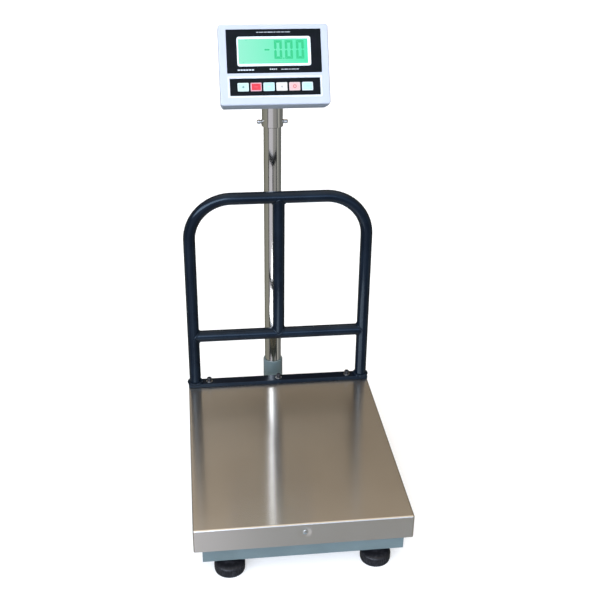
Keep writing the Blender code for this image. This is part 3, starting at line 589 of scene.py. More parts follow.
def platter():
    low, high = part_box("platter")
    centre = ((low.x + high.x) / 2, (low.y + high.y) / 2)
    sheet, fold, corner = 0.0015, 0.003, 0.0035
    width, depth, skirt = high.x - low.x, high.y - low.y, high.z - low.z
    inside = [(fold + 0.002, -sheet), (fold, -sheet)]
    inside += [(fold - r, z - fold) for r, z in fillet((0, 0), fold - sheet, 90, 0, 4)][1:]
    inside += [(sheet, 0.004 - skirt), (sheet, 0.0002 - skirt)]
    outside = [(sheet - 0.0003, -skirt), (0.0003, -skirt), (0, 0.0003 - skirt)]
    outside += [(fold - r, z - fold) for r, z in fillet((0, 0), fold, 0, 90, 7)]
    outside += [(fold + 0.002, 0)]
    rings = []
    for inset, z in inside + outside:
        radius = max(corner - inset, 0.0003)
        outline = rounded(width - 2 * inset, depth - 2 * inset, radius, centre, 5)
        rings.append([(a, b, high.z + z) for a, b in outline])
    pan = piece("platter_sheet", loft(rings), STEEL, "deck", ["platter"])
    for bolt in ("left", "centre", "right"):
        x, y, _ = box(f"guard_bolt_{bolt}")[2]
        carve(pan, rod(0.0033, (x, y, high.z - 0.01), (x, y, high.z + 0.01)))
    screw = box("platter_screw")[2]
    at = shifted(screw.x, low.y, screw.z) @ along("Y")
    dish = [(0, -0.001), (0.0131, -0.001), (0.0126, -0.00002), (0.012, 0.00002), (0.011, 0.0001)]
    dish += [(0.0068, 0.00044), (0.006, 0.0005), (0.0024, 0.0005), (0.0024, 0.004), (0, 0.004)]
    carve(pan, turned(dish, 64, at))
    grain_map(pan, high)
    head = [(0, -0.0006), (0.002, -0.00055), (0.0034, -0.0002), (0.0042, 0.00025)]
    head += [(0.0043, 0.0005), (0.002, 0.0005), (0.002, 0.0095), (0, 0.0095)]
    piece("platter_pan_screw", turned(head, 32, at), ZINC, "deck", ["platter_screw"])


def guard_hoop():
    """The bent tube. Returns what its cross members need: its radius, half width, y and top."""
    low, high, middle = box("guard_hoop")
    radius, y, bend = (high.y - low.y) / 2, middle.y, 0.088
    post, top = high.x - radius, high.z - radius
    heights = [low.z, low.z + 0.004, top - bend - 0.002]
    path = [(-post, y, z) for z in heights]
    for x, start in ((-1, 180), (1, 90)):
        spot = (x * (post - bend), top - bend)
        path += [(a, y, b) for a, b in fillet(spot, bend, start, start - 90, 24)]
    path += [(post, y, z) for z in reversed(heights)]
    piece("guard_hoop_tube", sweep(path, radius, 48), GUARD, "deck", ["guard_hoop"])
    for side, x in (("left", -post), ("right", post)):
        weld(f"weld_post_{side}", circle((x, y, low.z + 0.0006), radius + 0.0012), "deck", 0.0034)
    return radius, post, y, top


def saddle(centre, radius, sign, axis):
    """The line where a tube meets another of the same size at a right angle."""
    stand_off = 0.16 * radius
    points = []
    for i in range(BEAD_STEPS):
        angle = math.tau * i / BEAD_STEPS
        back = sign * math.sqrt((radius * math.sin(angle)) ** 2 + stand_off**2)
        reach = radius * 1.02
        a, b = reach * math.cos(angle), reach * math.sin(angle)
        points.append(Vector(centre) + Vector((back, a, b) if axis == "X" else (b, a, back)))
    return points


def guard_cross_members(radius, post, y, top):
    level = box("guard_crossbar")[2].z
    path = [(share * (post - 0.003), y, level) for share in (-1, -0.5, 0, 0.5, 1)]
    piece("guard_crossbar_tube", sweep(path, radius, 48), GUARD, "deck", ["guard_crossbar"])
    path = [(0, y, z) for z in (level + 0.004, (level + top) / 2, top - 0.004)]
    piece("guard_centre_tube", sweep(path, radius, 48), GUARD, "deck", ["guard_centre_bar"])
    for name, centre, sign, axis in (
        ("crossbar_left", (-post, y, level), 1, "X"),
        ("crossbar_right", (post, y, level), -1, "X"),
        ("centre_foot", (0, y, level), 1, "Z"),
        ("centre_head", (0, y, top), -1, "Z"),
    ):
        weld(f"weld_{name}", saddle(centre, radius, sign, axis), "deck", 0.0021)


def guard_base():
    low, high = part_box("guard_base_bar")
    bar = piece("guard_flat_bar", cuboid(low, high), GUARD, "deck", ["guard_base_bar"], edge=0.0014)
    bar.modifiers["edge"].segments = 4
    disc = washer(0.0034, 0.0068, 0, 0.0012)
    for side in ("left", "centre", "right"):
        node = f"guard_bolt_{side}"
        bolt_low, bolt_high, spot = box(node)
        at = shifted(spot.x, spot.y, high.z)
        piece(f"{node}_washer", turned(disc, 40, at), ZINC, "deck")
        tip, top = bolt_low.z - high.z, bolt_high.z - high.z
        screw = [(0, tip), (0.003, tip), (0.003, 0.0012), (0.0047, 0.0012), (0.005, 0.0015)]
        screw += [(0.005, top - 0.0007), (0.0044, top), (0.0026, top, hexagon)]
        screw += [(0.0025, top - 0.004, hexagon), (0, top - 0.0046)]
        piece(f"{node}_screw", turned(screw, 36, at), OXIDE, "deck", [node])


def deck_frame():
    for side in ("left", "right"):
        section_tube(f"deck_rail_{side}", "Y", "deck")
    for row in ("front", "rear"):
        section_tube(f"deck_cross_{row}", "X", "deck")


# ---------------- base, feet and column


def base_frame():
    for row in ("front", "rear"):
        section_tube(f"base_rail_{row}", "X", "base", (True, True))
    for side in ("left", "right"):
        section_tube(f"base_rail_{side}", "Y", "base")
    section_tube("column_arm", "Y", "base", (False, True))
    frame_welds()


def frame_welds():
    """Fillets where the side tubes and the column arm meet the front and rear tubes."""
    left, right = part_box("base_rail_left")[1].x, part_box("base_rail_right")[0].x
    front, rear, arm = (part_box(node) for node in ("base_rail_front", "base_rail_rear", "column_arm"))
    for name, x, y in (
        ("base_front_left", left, front[1].y),
        ("base_front_right", right, front[1].y),
        ("base_rear_left", left, rear[0].y),
        ("base_rear_right", right, rear[0].y),
        ("arm_left", arm[0].x, arm[0].y),
        ("arm_right", arm[1].x, arm[0].y),
    ):
        path = [(x, y, arm[0].z + 0.004 + 0.0055 * i) for i in range(5)]
        weld(f"weld_{name}", path, "base", 0.0022, closed=False, finish=FRAME)


def cross_plates():
    """The plates that the load cell joins, each with a boss where the cell meets it."""
    boss, half, bolt = 0.003, 0.0165, 0.0125
    for body in ("base", "deck"):
        node = f"{body}_cross_plate"
        low, high, (x, y, z) = box(node)
        if body == "base":
            flat_low, flat_high, step_low, step_high = low.z, high.z - boss, z, high.z
        else:
            flat_low, flat_high, step_low, step_high = low.z + boss, high.z, low.z, z
        sheet = cuboid((low.x, low.y, flat_low), (high.x, high.y, flat_high))
        steel = piece(f"{node}_steel", sheet, FRAME, body, [node], edge=0.0006)
        pad = cuboid((x - half, y - half, step_low), (x + half, y + half, step_high))
        carve(steel, pad, "UNION")
        for hole in (y - bolt, y + bolt):
            carve(steel, rod(M8_HOLE, (x, hole, low.z - 0.01), (x, hole, high.z + 0.01)))


def repaint(node, finish):
    """Gives a CAD node that stays in sight another finish."""
    materials = frame["nodes"][node].data.materials
    materials.clear()
    materials.append(finish.material)


def load_cell():
    repaint("load_cell", ALLOY)
    low, _, middle = box("load_cell")
    cover = plate(0.058, 0.026, 0.004, -0.0006, 0.0)
    at = shifted(low.x - GAP, middle.y, middle.z) @ Matrix.Rotation(-math.pi / 2, 4, "Z")
    piece("load_cell_potting", placed(cover, at), SHEATH, "base")
    profile = hex_head(M8, M8_FLATS, M8_HEAD, 0.0245)
    for body in ("base", "deck"):
        for number in (1, 2):
            node = f"cell_bolt_{body}_{number}"
            low, high, spot = box(node)
            if body == "base":
                face, turn = low.z + M8_HEAD, Matrix.Rotation(math.pi, 4, "X")
            else:
                face, turn = high.z - M8_HEAD, UPRIGHT
            at = shifted(spot.x, spot.y, face) @ turn
            piece(f"{node}_screw", turned(profile, 36, at), ZINC, body, [node])


def smooth_route(route, steps):
    """Points along a Catmull-Rom curve through the route."""
    route = [Vector(point) for point in route]
    padded = [2 * route[0] - route[1], *route, 2 * route[-1] - route[-2]]
    points = []
    for before, here, after, beyond in zip(padded, padded[1:], padded[2:], padded[3:]):
        for i in range(steps):
            t = i / steps
            bend = 2 * before - 5 * here + 4 * after - beyond
            turn = 3 * here - before - 3 * after + beyond
            points.append(0.5 * (2 * here + (after - before) * t + bend * t**2 + turn * t**3))
    return [*points, route[-1]]


def cell_lead():
    """The load cell's lead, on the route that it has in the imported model."""
    _, cell, middle = box("load_cell")
    rear = box("base_rail_rear")
    column = box("column_tube")
    level, column_y = rear[2].z, column[2].y
    side, exit_y = cell.x, middle.y - 0.0625
    beside = side + 0.0105
    route = [(side + 0.0006, exit_y, level + 0.012), (side + 0.003, exit_y, level + 0.012)]
    route += [(side + 0.0085, exit_y + 0.004, level + 0.0115)]
    sag = ((0.016, 0.01), (0.07, 0.006), (0.15, 0.002))
    route += [(beside, exit_y + y, level + z) for y, z in sag]
    route += [(0.015, exit_y + 0.215, level)]
    route += [(0, y, level) for y in (rear[0].y - 0.01, rear[1].y + 0.01)]
    route += [(0, column_y - back, level) for back in (0.06, 0.019)]
    route += [(0, column_y - 0.0055, level + 0.0055), (0, column_y, level + 0.019)]
    route += [(0, column_y, z) for z in (0.12, 0.3, 0.5, column[1].z - 0.006)]
    tube = sweep(smooth_route(route, 6), 0.00225, 16)
    piece("load_cell_lead", tube, SHEATH, "base", ["load_cell_cable"])
    boot = [(0.0024, 0), (0.0046, 0), (0.0046, 0.002), (0.0034, 0.005), (0.0024, 0.006)]
    at = shifted(side + GAP, exit_y, level + 0.012) @ along("X")
    piece("load_cell_boot", turned(boot, 24, at), SHEATH, "base")


def overload_stops():
    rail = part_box("base_rail_left")[1].z
    seat, lock = rail + GAP, 0.0065
    for number in range(1, 5):
        node = f"overload_stop_{number}"
        low, high, spot = box(node)
        bolt = hex_head(M8, M8_FLATS, M8_HEAD, high.z - M8_HEAD - low.z)
        bolt_at = shifted(spot.x, spot.y, high.z - M8_HEAD)
        piece(f"{node}_bolt", turned(bolt, 36, bolt_at), ZINC, "base", [node])
        nut = turned(hex_nut(M8, M8_FLATS, seat, seat + lock), 36, shifted(spot.x, spot.y, 0))
        piece(f"{node}_locknut", nut, ZINC, "base")


def ribbed(count, depth):
    """A ring shape with narrow grooves."""
    return lambda angle: 1 - depth * (0.5 - 0.5 * math.cos(count * angle)) ** 2


def feet():
    """Levelling feet: a ribbed cup and a threaded stud."""
    ribs = ribbed(36, 0.045)
    for row in ("front", "rear"):
        for side in ("left", "right"):
            body = f"foot_{row}_{side}"
            low, high, spot = box(f"{body}_pad")
            rim = (high.x - low.x) / 2
            at = shifted(spot.x, spot.y, 0)
            cup = [(0, 0.0008), (rim - 0.007, 0.0008), (rim - 0.006, 0), (rim - 0.0024, 0)]
            cup += [(rim - 0.001, 0.001), (rim - 0.0003, 0.0034), (rim - 0.0001, 0.006, ribs)]
            cup += [(rim, 0.01, ribs), (rim, 0.015, ribs), (rim - 0.0005, 0.0168)]
            cup += [(rim - 0.0018, 0.0192), (rim - 0.0048, 0.0208), (rim - 0.009, 0.0215)]
            cup += [(0.0128, 0.0219), (0.0108, 0.0226), (0.0095, 0.0238), (0.0085, 0.024)]
            cup += [(0.0055, 0.024), (0.0052, 0.023), (0, 0.0229)]
            piece(f"{body}_cup", turned(cup, 144, at), RUBBER, body, [f"{body}_pad"])
            stud = f"{body}_stud"
            thread = placed(threaded(0.005, 0.0015, 0.023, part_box(stud)[1].z), at)
            piece(f"{body}_thread", thread, ZINC, body, [stud])


def column():
    low, high, (x, y, _) = box("column_tube")
    radius = (high.x - low.x) / 2
    at = shifted(x, y, 0)
    wall, soft = 0.0015, 0.0003
    tube = [(radius - wall, low.z), (radius, low.z), (radius, high.z - soft)]
    tube += [(radius - soft, high.z), (radius - wall, high.z)]
    piece("column_polished_tube", turned(tube, 96, at), CHROME, "base", ["column_tube"])
    low, high, middle = box("column_socket")
    outer, root, bore = (high.x - low.x) / 2, low.z - 0.016, radius + GAP
    collar = [(bore, root), (outer, root), (outer, high.z - 0.0016)]
    collar += [(outer - 0.0005, high.z - 0.0005), (outer - 0.0014, high.z), (bore, high.z - 0.0002)]
    piece("column_collar", turned(collar, 72, at), FRAME, "base", ["column_socket"])
    for side, facing in (("front", -90), ("rear", 90)):
        arc = fillet((0, 0), outer, facing - 55, facing + 55, 30)
        path = [(x + a, y + b, low.z) for a, b in arc]
        weld(f"weld_collar_{side}", path, "base", 0.0016, 0.001, closed=False, finish=FRAME)
    grub = [(0, 0.0012), (0.0022, 0.0012), (0.0024, 0.0026, hexagon), (0.003, 0.0028)]
    grub += [(0.0036, 0.0024), (0.0038, 0), (0, 0)]
    spot = shifted(x, y + outer - 0.0004, middle.z) @ along("Y")
    piece("collar_set_screw", turned(grub, 30, spot), ZINC, "base")


# ---------------- bracket


def bracket():
    low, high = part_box("bracket_sleeve")
    x, y = (low.x + high.x) / 2, (low.y + high.y) / 2
    column_low, column_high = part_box("column_tube")
    bore = (column_high.x - column_low.x) / 2 + GAP
    bead = (high.x - low.x) / 2
    radius = bead - 0.0006
    sleeve = [(bore, low.z + 0.0003), (bore + 0.0006, low.z), (radius - 0.0012, low.z)]
    sleeve += [(bead - 0.0003, low.z + 0.0008), (bead, low.z + 0.0018), (bead, low.z + 0.0036)]
    sleeve += [(bead - 0.0001, low.z + 0.006), (radius, low.z + 0.014), (radius, high.z - 0.0006)]
    sleeve += [(radius - 0.0006, high.z), (bore, high.z)]
    tube = turned(sleeve, 96, shifted(x, y, 0))
    shell = piece("bracket_sleeve_tube", tube, CHROME, "bracket", ["bracket_sleeve"])
    level = box("clamp_screw_left")[2].z
    carve(shell, rod(0.003, (x - 0.05, y, level), (x + 0.05, y, level)))
    clamp_screws(x, y, level, bore, radius)
    yoke(x, y)
    path = circle((x, y, high.z + 0.0002), radius - 0.0002)
    weld("weld_yoke", path, "bracket", 0.0012, 0.0008, finish=CHROME)


def clamp_screws(x, y, level, bore, radius):
    """Dome-headed thumb screws with a knurled rim, and the nut welded on the sleeve for each."""
    seat = radius + GAP
    knurl = ribbed(20, 0.06)
    screw = [(0, bore), (0.0024, bore), (0.0027, bore + 0.0004), (0.0027, seat + 0.0022)]
    screw += [(0.0036, seat + 0.0024), (0.0043, seat + 0.003), (0.0046, seat + 0.0036, knurl)]
    screw += [(0.0046, seat + 0.0076, knurl), (0.0043, seat + 0.0086), (0.0033, seat + 0.0098)]
    screw += [(0.0018, seat + 0.0104), (0, seat + 0.0106)]
    nut = hex_nut(0.0031, 0.0042, radius - 0.0004, radius + 0.0019)
    for side, turn in (("left", math.pi), ("right", 0)):
        at = shifted(x, y, level) @ Matrix.Rotation(turn, 4, "Z") @ along("X")
        name = f"clamp_screw_{side}"
        piece(f"{name}_thumb", turned(screw, 60, at), CHROME, f"clamp_{side}", [name])
        piece(f"{name}_nut", turned(nut, 36, at), CHROME, "bracket")


def yoke(x, y):
    low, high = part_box("bracket_yoke")
    tilt = frame_joint("indicator_tilt")
    outer, thick = high.x - x, 0.003
    ear_radius = high.z - tilt.z
    foot = (high.y - low.y) / 2
    strap = cuboid((x - outer, y - foot, low.z), (x + outer, y + foot, low.z + thick))
    body = piece("bracket_yoke_plate", strap, CHROME, "bracket", ["bracket_yoke"], edge=0.0005)
    outline = [(-foot, low.z - tilt.z), (foot, low.z - tilt.z)]
    outline += fillet((0, 0), ear_radius, -10, 190, 24)
    for faces in ((-outer, thick - outer), (outer - thick, outer)):
        ear = loft([[(x + face, y + a, tilt.z + b) for a, b in outline] for face in faces])
        carve(body, ear, "UNION")
    carve(body, rod(0.009, (x, y, low.z - 0.01), (x, y, low.z + 0.01), 48))
    carve(body, rod(M8_HOLE, (x - 0.05, y, tilt.z), (x + 0.05, y, tilt.z), 40))
    tilt_bolt(x, y, tilt.z, outer)


def tilt_bolt(x, y, z, outer):
    seat = outer + 0.0015
    screw = [(0, -seat - 0.005), (0.0057, -seat - 0.005), (M8_FLATS, -seat - 0.0042, hexagon)]
    screw += [(M8_FLATS, -seat, hexagon), (M8, -seat), (M8, seat + 0.0072)]
    screw += [(0.0034, seat + 0.0078), (0, seat + 0.0078)]
    at = shifted(x, y, z) @ along("X")
    piece("tilt_bolt_screw", turned(screw, 36, at), ZINC, "bracket", ["tilt_bolt"])
    for side, low in (("left", -seat), ("right", outer)):
        disc = turned(washer(M8_HOLE, 0.0085, low + 0.0001, low + 0.0014), 40, at)
        piece(f"tilt_washer_{side}", disc, ZINC, "bracket")
    nut = turned(hex_nut(M8, M8_FLATS, seat + 0.0001, seat + 0.006), 36, at)
    piece("tilt_nut", nut, ZINC, "bracket")


def frame_joint(name):
    return Vector(next(joint for joint in frame["joints"] if joint["name"] == name)["pos_m"])


# ---------------- indicator

TILT_BACK = math.radians(26)
HEAD = Matrix.Translation(frame_joint("indicator_tilt")) @ Matrix.Rotation(-TILT_BACK, 4, "X")
FACE = -0.064
FACE_Z = 0.015
CASE = (0.221, 0.161)
CASE_CORNER = 0.0055
CASE_WALL = 0.0025
SPLIT = FACE + 0.02
BACK = FACE + 0.053
DISPLAY = (0.19, 0.087)
DISPLAY_Z = FACE_Z + 0.0266
WINDOW = (0.1486, 0.0594)
WINDOW_Z = FACE_Z + 0.0263
GLASS = (0.139, 0.0493)
GLASS_AT = (-0.0015, WINDOW_Z)
KEYPAD = (0.181, 0.0339)
KEYPAD_Z = FACE_Z - 0.0446
KEY = (0.022, 0.0168)
KEY_PITCH = 0.0258
PORT_X = 0.065
PORT_Z = FACE_Z - 0.04


def head_piece(name, bm, finish, stands_for=(), body="indicator"):
    return piece(name, bm, finish, body, stands_for, HEAD)


def pocket(obj, width, height, radius, front, back, centre):
    """Cuts a rounded rectangle out of a piece, from one depth to another."""
    carve(obj, plate(width, height, radius, front, back, 0.0001, centre))


def stroke(width, height, radius, y, centre, thick=0.0002):
    """A thin print."""
    return plate(width, height, radius, y, y + thick, 0.00004, centre)


def front_case():
    soft, rim = 0.0028, 0.0046
    inner = [(0.02, FACE + CASE_WALL), (0.006, FACE + CASE_WALL)]
    inner += [(0.0034, FACE + CASE_WALL + 0.0004), (CASE_WALL, FACE + 0.004), (CASE_WALL, SPLIT)]
    outer = [(0.0004, SPLIT), (0, SPLIT - 0.0004)]
    outer += [(soft - a, FACE + soft - b) for a, b in fillet((0, 0), soft, 0, 90, 9)]
    outer += [(soft + 0.003, FACE)]
    rings = slab(*CASE, CASE_CORNER, inner + outer, (0, FACE_Z), 9)
    case = head_piece("case_front", loft(rings), WHITE, ["front_case"])
    width, height = KEYPAD
    around = (width + 2 * rim, height + 2 * rim, 0.0032, (0, KEYPAD_Z))
    within = (width + 2 * GAP, height + 2 * GAP, 0.0008, (0, KEYPAD_Z))
    raised = framed(around, within, FACE - 0.0009, FACE + 0.0005, 0.0007)
    # The raised rim carries a painted highlight: a colour paler than the case it is moulded with.
    head_piece("keypad_rim", raised, RIM_HIGHLIGHT)
    for (width, height), z in ((DISPLAY, DISPLAY_Z), (KEYPAD, KEYPAD_Z)):
        pocket(case, width + 2 * GAP, height + 2 * GAP, 0.0008, FACE - 0.003, FACE + 0.001, (0, z))
    slot = (5 * KEY_PITCH + KEY[0] + 0.006, KEY[1] + 0.004)
    for (width, height), z in ((WINDOW, WINDOW_Z), (slot, KEYPAD_Z)):
        pocket(case, width, height, 0.004, FACE - 0.003, FACE + 0.005, (0, z))


def rear_ring(inset_x, inset_z, y, radius):
    outline = rounded(CASE[0] - 2 * inset_x, CASE[1] - 2 * inset_z, radius, (0, FACE_Z), 9)
    return [(a, y, b) for a, b in outline]


def rear_case():
    """The back shell: a straight band, a taper and a rounded back, with lug, ports and screws."""
    start = SPLIT + GAP
    taper_x, taper_z, soft = 0.005, 0.0015, 0.005
    rings = []
    for wall, way in ((CASE_WALL, -1), (0.0, 1)):
        depth = BACK - wall
        part = [(wall, wall, start), (wall, wall, start + 0.004)]
        part.append((taper_x * 0.85 + wall, taper_z * 0.85 + wall, depth - soft))
        for a, b in fillet((0, 0), soft, 0, 90, 8)[1:]:
            part.append((taper_x + wall + soft - a, taper_z + wall + soft - a, depth - soft + b))
        part.append((taper_x + wall + soft + 0.003, taper_z + wall + soft + 0.003, depth))
        made = [rear_ring(x, z, y, max(CASE_CORNER - 0.5 * x, 0.001)) for x, z, y in part]
        rings += made[::way]
    case = head_piece("case_rear", loft(rings), WHITE, ["rear_case"])
    lug, radius, hollow = 0.0185, 0.0095, BACK - 0.006
    half = [(radius - 0.0006, lug), (radius, lug - 0.0006)]
    ends = [(0, -lug)] + [(r, -z) for r, z in half] + half[::-1] + [(0, lug)]
    carve(case, turned(ends, 48, along("X")), "UNION")
    carve(case, cuboid((-lug, BACK - CASE_WALL / 2, -radius), (lug, 0, radius)), "UNION")
    carve(case, rod(M8_HOLE, (-0.05, 0, 0), (0.05, 0, 0), 40))
    low = (PORT_X - 0.0123, hollow, PORT_Z - 0.0093)
    carve(case, cuboid(low, (PORT_X + 0.0123, BACK + 0.003, PORT_Z + 0.0093)))
    carve(case, rod(0.0063, (-PORT_X, hollow, PORT_Z), (-PORT_X, BACK + 0.003, PORT_Z)))
    case_screws(case)
    vents(case)


def case_screws(case):
    seat, inset = 0.0022, 0.02
    screw = [(0, 0.0004), (0.0012, 0.0004), (0.0016, 0.0017), (0.0026, 0.0014), (0.0034, 0.0008)]
    screw += [(0.0036, 0), (0, 0)]
    for number, (sx, sz) in enumerate(((-1, -1), (1, -1), (-1, 1), (1, 1)), 1):
        x, z = sx * (CASE[0] / 2 - inset), FACE_Z + sz * (CASE[1] / 2 - inset)
        carve(case, rod(0.0042, (x, BACK - seat, z), (x, BACK + 0.002, z), 32))
        at = shifted(x, BACK - seat + 0.00005, z) @ along("Y")
        head_piece(f"case_screw_{number}", turned(screw, 28, at), ZINC)


def vents(case):
    """Two rows of short slots near the top of the back."""
    pitch, count = 0.007, 9
    for row in range(2):
        for i in range(count):
            centre = ((i - (count - 1) / 2) * pitch, FACE_Z + 0.052 - 0.014 * row)
            pocket(case, 0.0026, 0.0105, 0.0012, BACK - 0.004, BACK + 0.001, centre)


def display():
    around, window = (*DISPLAY, 0.0012, (0, DISPLAY_Z)), (*WINDOW, 0.005, (0, WINDOW_Z))
    panel = framed(around, window, FACE - GAP, FACE + 0.0007, 0.0002)
    head_piece("display_film", panel, FILM, ["display_panel"])
    around = (WINDOW[0] - 0.0004, WINDOW[1] - 0.0004, 0.0048, (0, WINDOW_Z))
    bezel = framed(around, (*GLASS, 0.0012, GLASS_AT), FACE - 0.0001, FACE + 0.006, 0.0005)
    head_piece("display_bezel", bezel, BEZEL)
    width, height = GLASS[0] - 0.0002, GLASS[1] - 0.0002
    glass = plate(width, height, 0.001, FACE + 0.0004, FACE + 0.0066, 0.0002, GLASS_AT)
    head_piece("display_glass", glass, LIGHT, ["lcd_module"])
    digits()
    printed_marks()


def flat(points, y):
    """A thin print with the given outline, at depth y."""
    around = zip(points, points[1:] + points[:1])
    if sum(a * d - b * c for (a, b), (c, d) in around) < 0:
        points = points[::-1]
    return loft([[(a, depth, b) for a, b in points] for depth in (y, y + 0.00015)])


def nought(left, bottom, top, width, gap, y):
    """The six mitred segments of a nought."""
    right = left + 0.0159
    middle = (bottom + top) / 2
    parts = []
    for z, inner in ((top, top - width), (bottom, bottom + width)):
        ends = [(left + gap, z), (right - gap, z)]
        parts.append(flat(ends + [(right - width - gap, inner), (left + width + gap, inner)], y))
    for x, inner in ((left, left + width), (right, right - width)):
        for z, step in ((top, 1), (bottom, -1)):
            tip = middle + step * width / 2
            outline = [(x, z - step * gap), (x, tip), ((x + inner) / 2, middle + step * gap)]
            outline += [(inner, tip), (inner, z - step * (width + gap))]
            parts.append(flat(outline, y))
    return parts


def digits():
    """A minus sign and three noughts with a decimal point."""
    y = FACE + 0.00022
    bottom, top = WINDOW_Z - 0.0157, WINDOW_Z + 0.0217
    middle = (bottom + top) / 2
    parts = []
    for left in (0.0004, 0.022, 0.0445):
        parts += nought(left, bottom, top, 0.0051, 0.0002, y)
    dash = [(-0.0195, middle), (-0.018, middle - 0.0016), (-0.0098, middle - 0.0016)]
    dash += [(-0.0083, middle), (-0.0098, middle + 0.0016), (-0.018, middle + 0.0016)]
    point = [(0.0179, bottom), (0.0205, bottom), (0.0205, bottom + 0.0026), (0.0179, bottom + 0.0026)]
    parts += [flat(dash, y), flat(point, y)]
    head_piece("display_digits", merged(*parts), DIGIT)
    parts = []
    for z, places in (
        (WINDOW_Z + GLASS[1] / 2 - 0.0028, (-0.055, 0.000, 0.012, 0.024, 0.036, 0.048)),
        (WINDOW_Z - GLASS[1] / 2 + 0.0028, (-0.062, 0.002, 0.009, 0.018, 0.032, 0.044, 0.058)),
    ):
        for i, x in enumerate(places):
            length = 0.0034 + 0.0012 * (i % 3)
            parts.append(stroke(length, 0.0009, 0.0003, y, (x, z), 0.00015))
    head_piece("display_marks", merged(*parts), MARK)


def printed_marks():
    """Plain dashes where the panel carries its print."""
    y = FACE - GAP - 0.00008
    parts = []
    rows = (
        (DISPLAY_Z + 0.0375, -0.034, 0.034, (0.004, 0.009, 0.006, 0.011), 0.0011),
        (DISPLAY_Z - 0.0372, -0.074, -0.04, (0.0045, 0.0045, 0.0045, 0.0045), 0.0026),
        (DISPLAY_Z - 0.0362, -0.01, 0.006, (0.003, 0.003, 0.0022), 0.0022),
        (DISPLAY_Z - 0.0366, 0.013, 0.052, (0.005, 0.008, 0.004, 0.009), 0.0012),
    )
    for z, start, end, lengths, height in rows:
        x = start
        for length in itertools.cycle(lengths):
            if x + length > end:
                break
            parts.append(stroke(length, height, 0.0003, y, (x + length / 2, z)))
            x += length + 0.0011
    head_piece("panel_print", merged(*parts), INK)


def keypad():
    sheet = [(0.0002, FACE - GAP), (0, FACE - GAP + 0.0002), (0, FACE + 0.0007)]
    film = loft(slab(*KEYPAD, 0.0008, sheet, (0, KEYPAD_Z)))
    film = head_piece("keypad_film", film, FILM, ["keypad_panel"])
    width, height = KEY[0] + 2 * GAP, KEY[1] + 2 * GAP
    for number in range(6):
        centre = ((number - 2.5) * KEY_PITCH, KEYPAD_Z)
        pocket(film, width, height, 0.0016, FACE - 0.003, FACE + 0.003, centre)
    keys()


def keys():
    """Six keys, each with a border, a coloured field and a plain mark."""
    looks = (
        ((0.56, 0.7, 0.66), (0.43, 0.62, 0.55), (0.05, 0.14, 0.14), "cross"),
        ((0.62, 0.34, 0.38), (0.56, 0.004, 0.02), (0.62, 0.06, 0.09), "bar"),
        ((0.5, 0.7, 0.7), (0.36, 0.6, 0.6), (0.66, 0.4, 0.55), "bar"),
        ((0.64, 0.62, 0.56), (0.62, 0.6, 0.5), (0.3, 0.29, 0.29), "arrow"),
        ((0.64, 0.46, 0.44), (0.62, 0.36, 0.34), (0.52, 0.08, 0.09), "ring"),
        ((0.6, 0.68, 0.7), (0.38, 0.56, 0.64), (0.32, 0.5, 0.58), "bar"),
    )
    proud = FACE - GAP - 0.0012
    width, height = KEY[0] - 0.004, KEY[1] - 0.0038
    for number, (border, field, ink, mark) in enumerate(looks, 1):
        body, slot = f"key_{number}", f"key_{number}_colour"
        centre = ((number - 3.5) * KEY_PITCH, KEYPAD_Z)
        cap = plate(*KEY, 0.0015, proud, proud + 0.0044, 0.0006, centre)
        finish = plain_print(f"{body}_border", slot, border)
        head_piece(f"key_cap_{number}", cap, finish, [body], body)
        face = plate(width, height, 0.001, proud - 0.0002, proud + 0.0002, 0.0001, centre)
        finish = plain_print(f"{body}_field", slot, field)
        head_piece(f"key_field_{number}", face, finish, (), body)
        symbol = key_symbol(mark, *centre, proud - 0.00028)
        finish = plain_print(f"{body}_ink", slot, ink)
        head_piece(f"key_mark_{number}", symbol, finish, (), body)


def key_symbol(mark, x, z, y):
    thick = 0.0002
    if mark == "cross":
        upright = stroke(0.0013, 0.0052, 0.0004, y - 0.00002, (x, z), thick + 0.00002)
        return merged(stroke(0.0058, 0.0013, 0.0004, y, (x, z)), upright)
    if mark == "ring":
        ring = [(0.0022, 0), (0.0036, 0), (0.0036, thick), (0.0022, thick)]
        return turned(ring, 40, shifted(x, y, z) @ along("Y"))
    if mark == "arrow":
        outline = [(-0.0024, -0.0016), (0.0024, -0.0016), (0, 0.0022)]
        return loft([[(x + a, depth, z + b) for a, b in outline] for depth in (y, y + thick)])
    return stroke(0.0066, 0.0015, 0.0005, y, (x, z))


def indicator_ports():
    at = shifted(PORT_X, BACK, PORT_Z)
    flange = plate(0.028, 0.022, 0.0025, GAP, 0.0018, 0.0004)
    inlet = head_piece("inlet_body", placed(flange, at), PORT, ["power_inlet"])
    carve(inlet, placed(plate(0.024, 0.018, 0.001, -0.013, 0.001, 0.0001), at), "UNION")
    carve(inlet, placed(plate(0.018, 0.012, 0.002, -0.01, 0.003, 0.0001), at))
    for number, centre in enumerate(((-0.005, -0.001), (0, 0.002), (0.005, -0.001)), 1):
        pin = placed(plate(0.0018, 0.0032, 0.0004, -0.01, -0.001, 0.0003, centre), at)
        head_piece(f"inlet_pin_{number}", pin, ZINC)
    ribs = ribbed(14, 0.05)
    gland = [(0.0026, -0.008), (0.006, -0.008), (0.006, GAP), (0.008, GAP)]
    gland += [(0.0085, 0.0009, hexagon), (0.0085, 0.0036, hexagon), (0.0078, 0.0042)]
    gland += [(0.0072, 0.0044, ribs), (0.0072, 0.0088, ribs), (0.0064, 0.01)]
    gland += [(0.005, 0.0118), (0.0042, 0.012), (0.0026, 0.012)]
    spot = shifted(-PORT_X, BACK, PORT_Z) @ along("Y")
    head_piece("cable_gland_body", turned(gland, 56, spot), PORT, ["cable_gland"])


# ---------------- studio


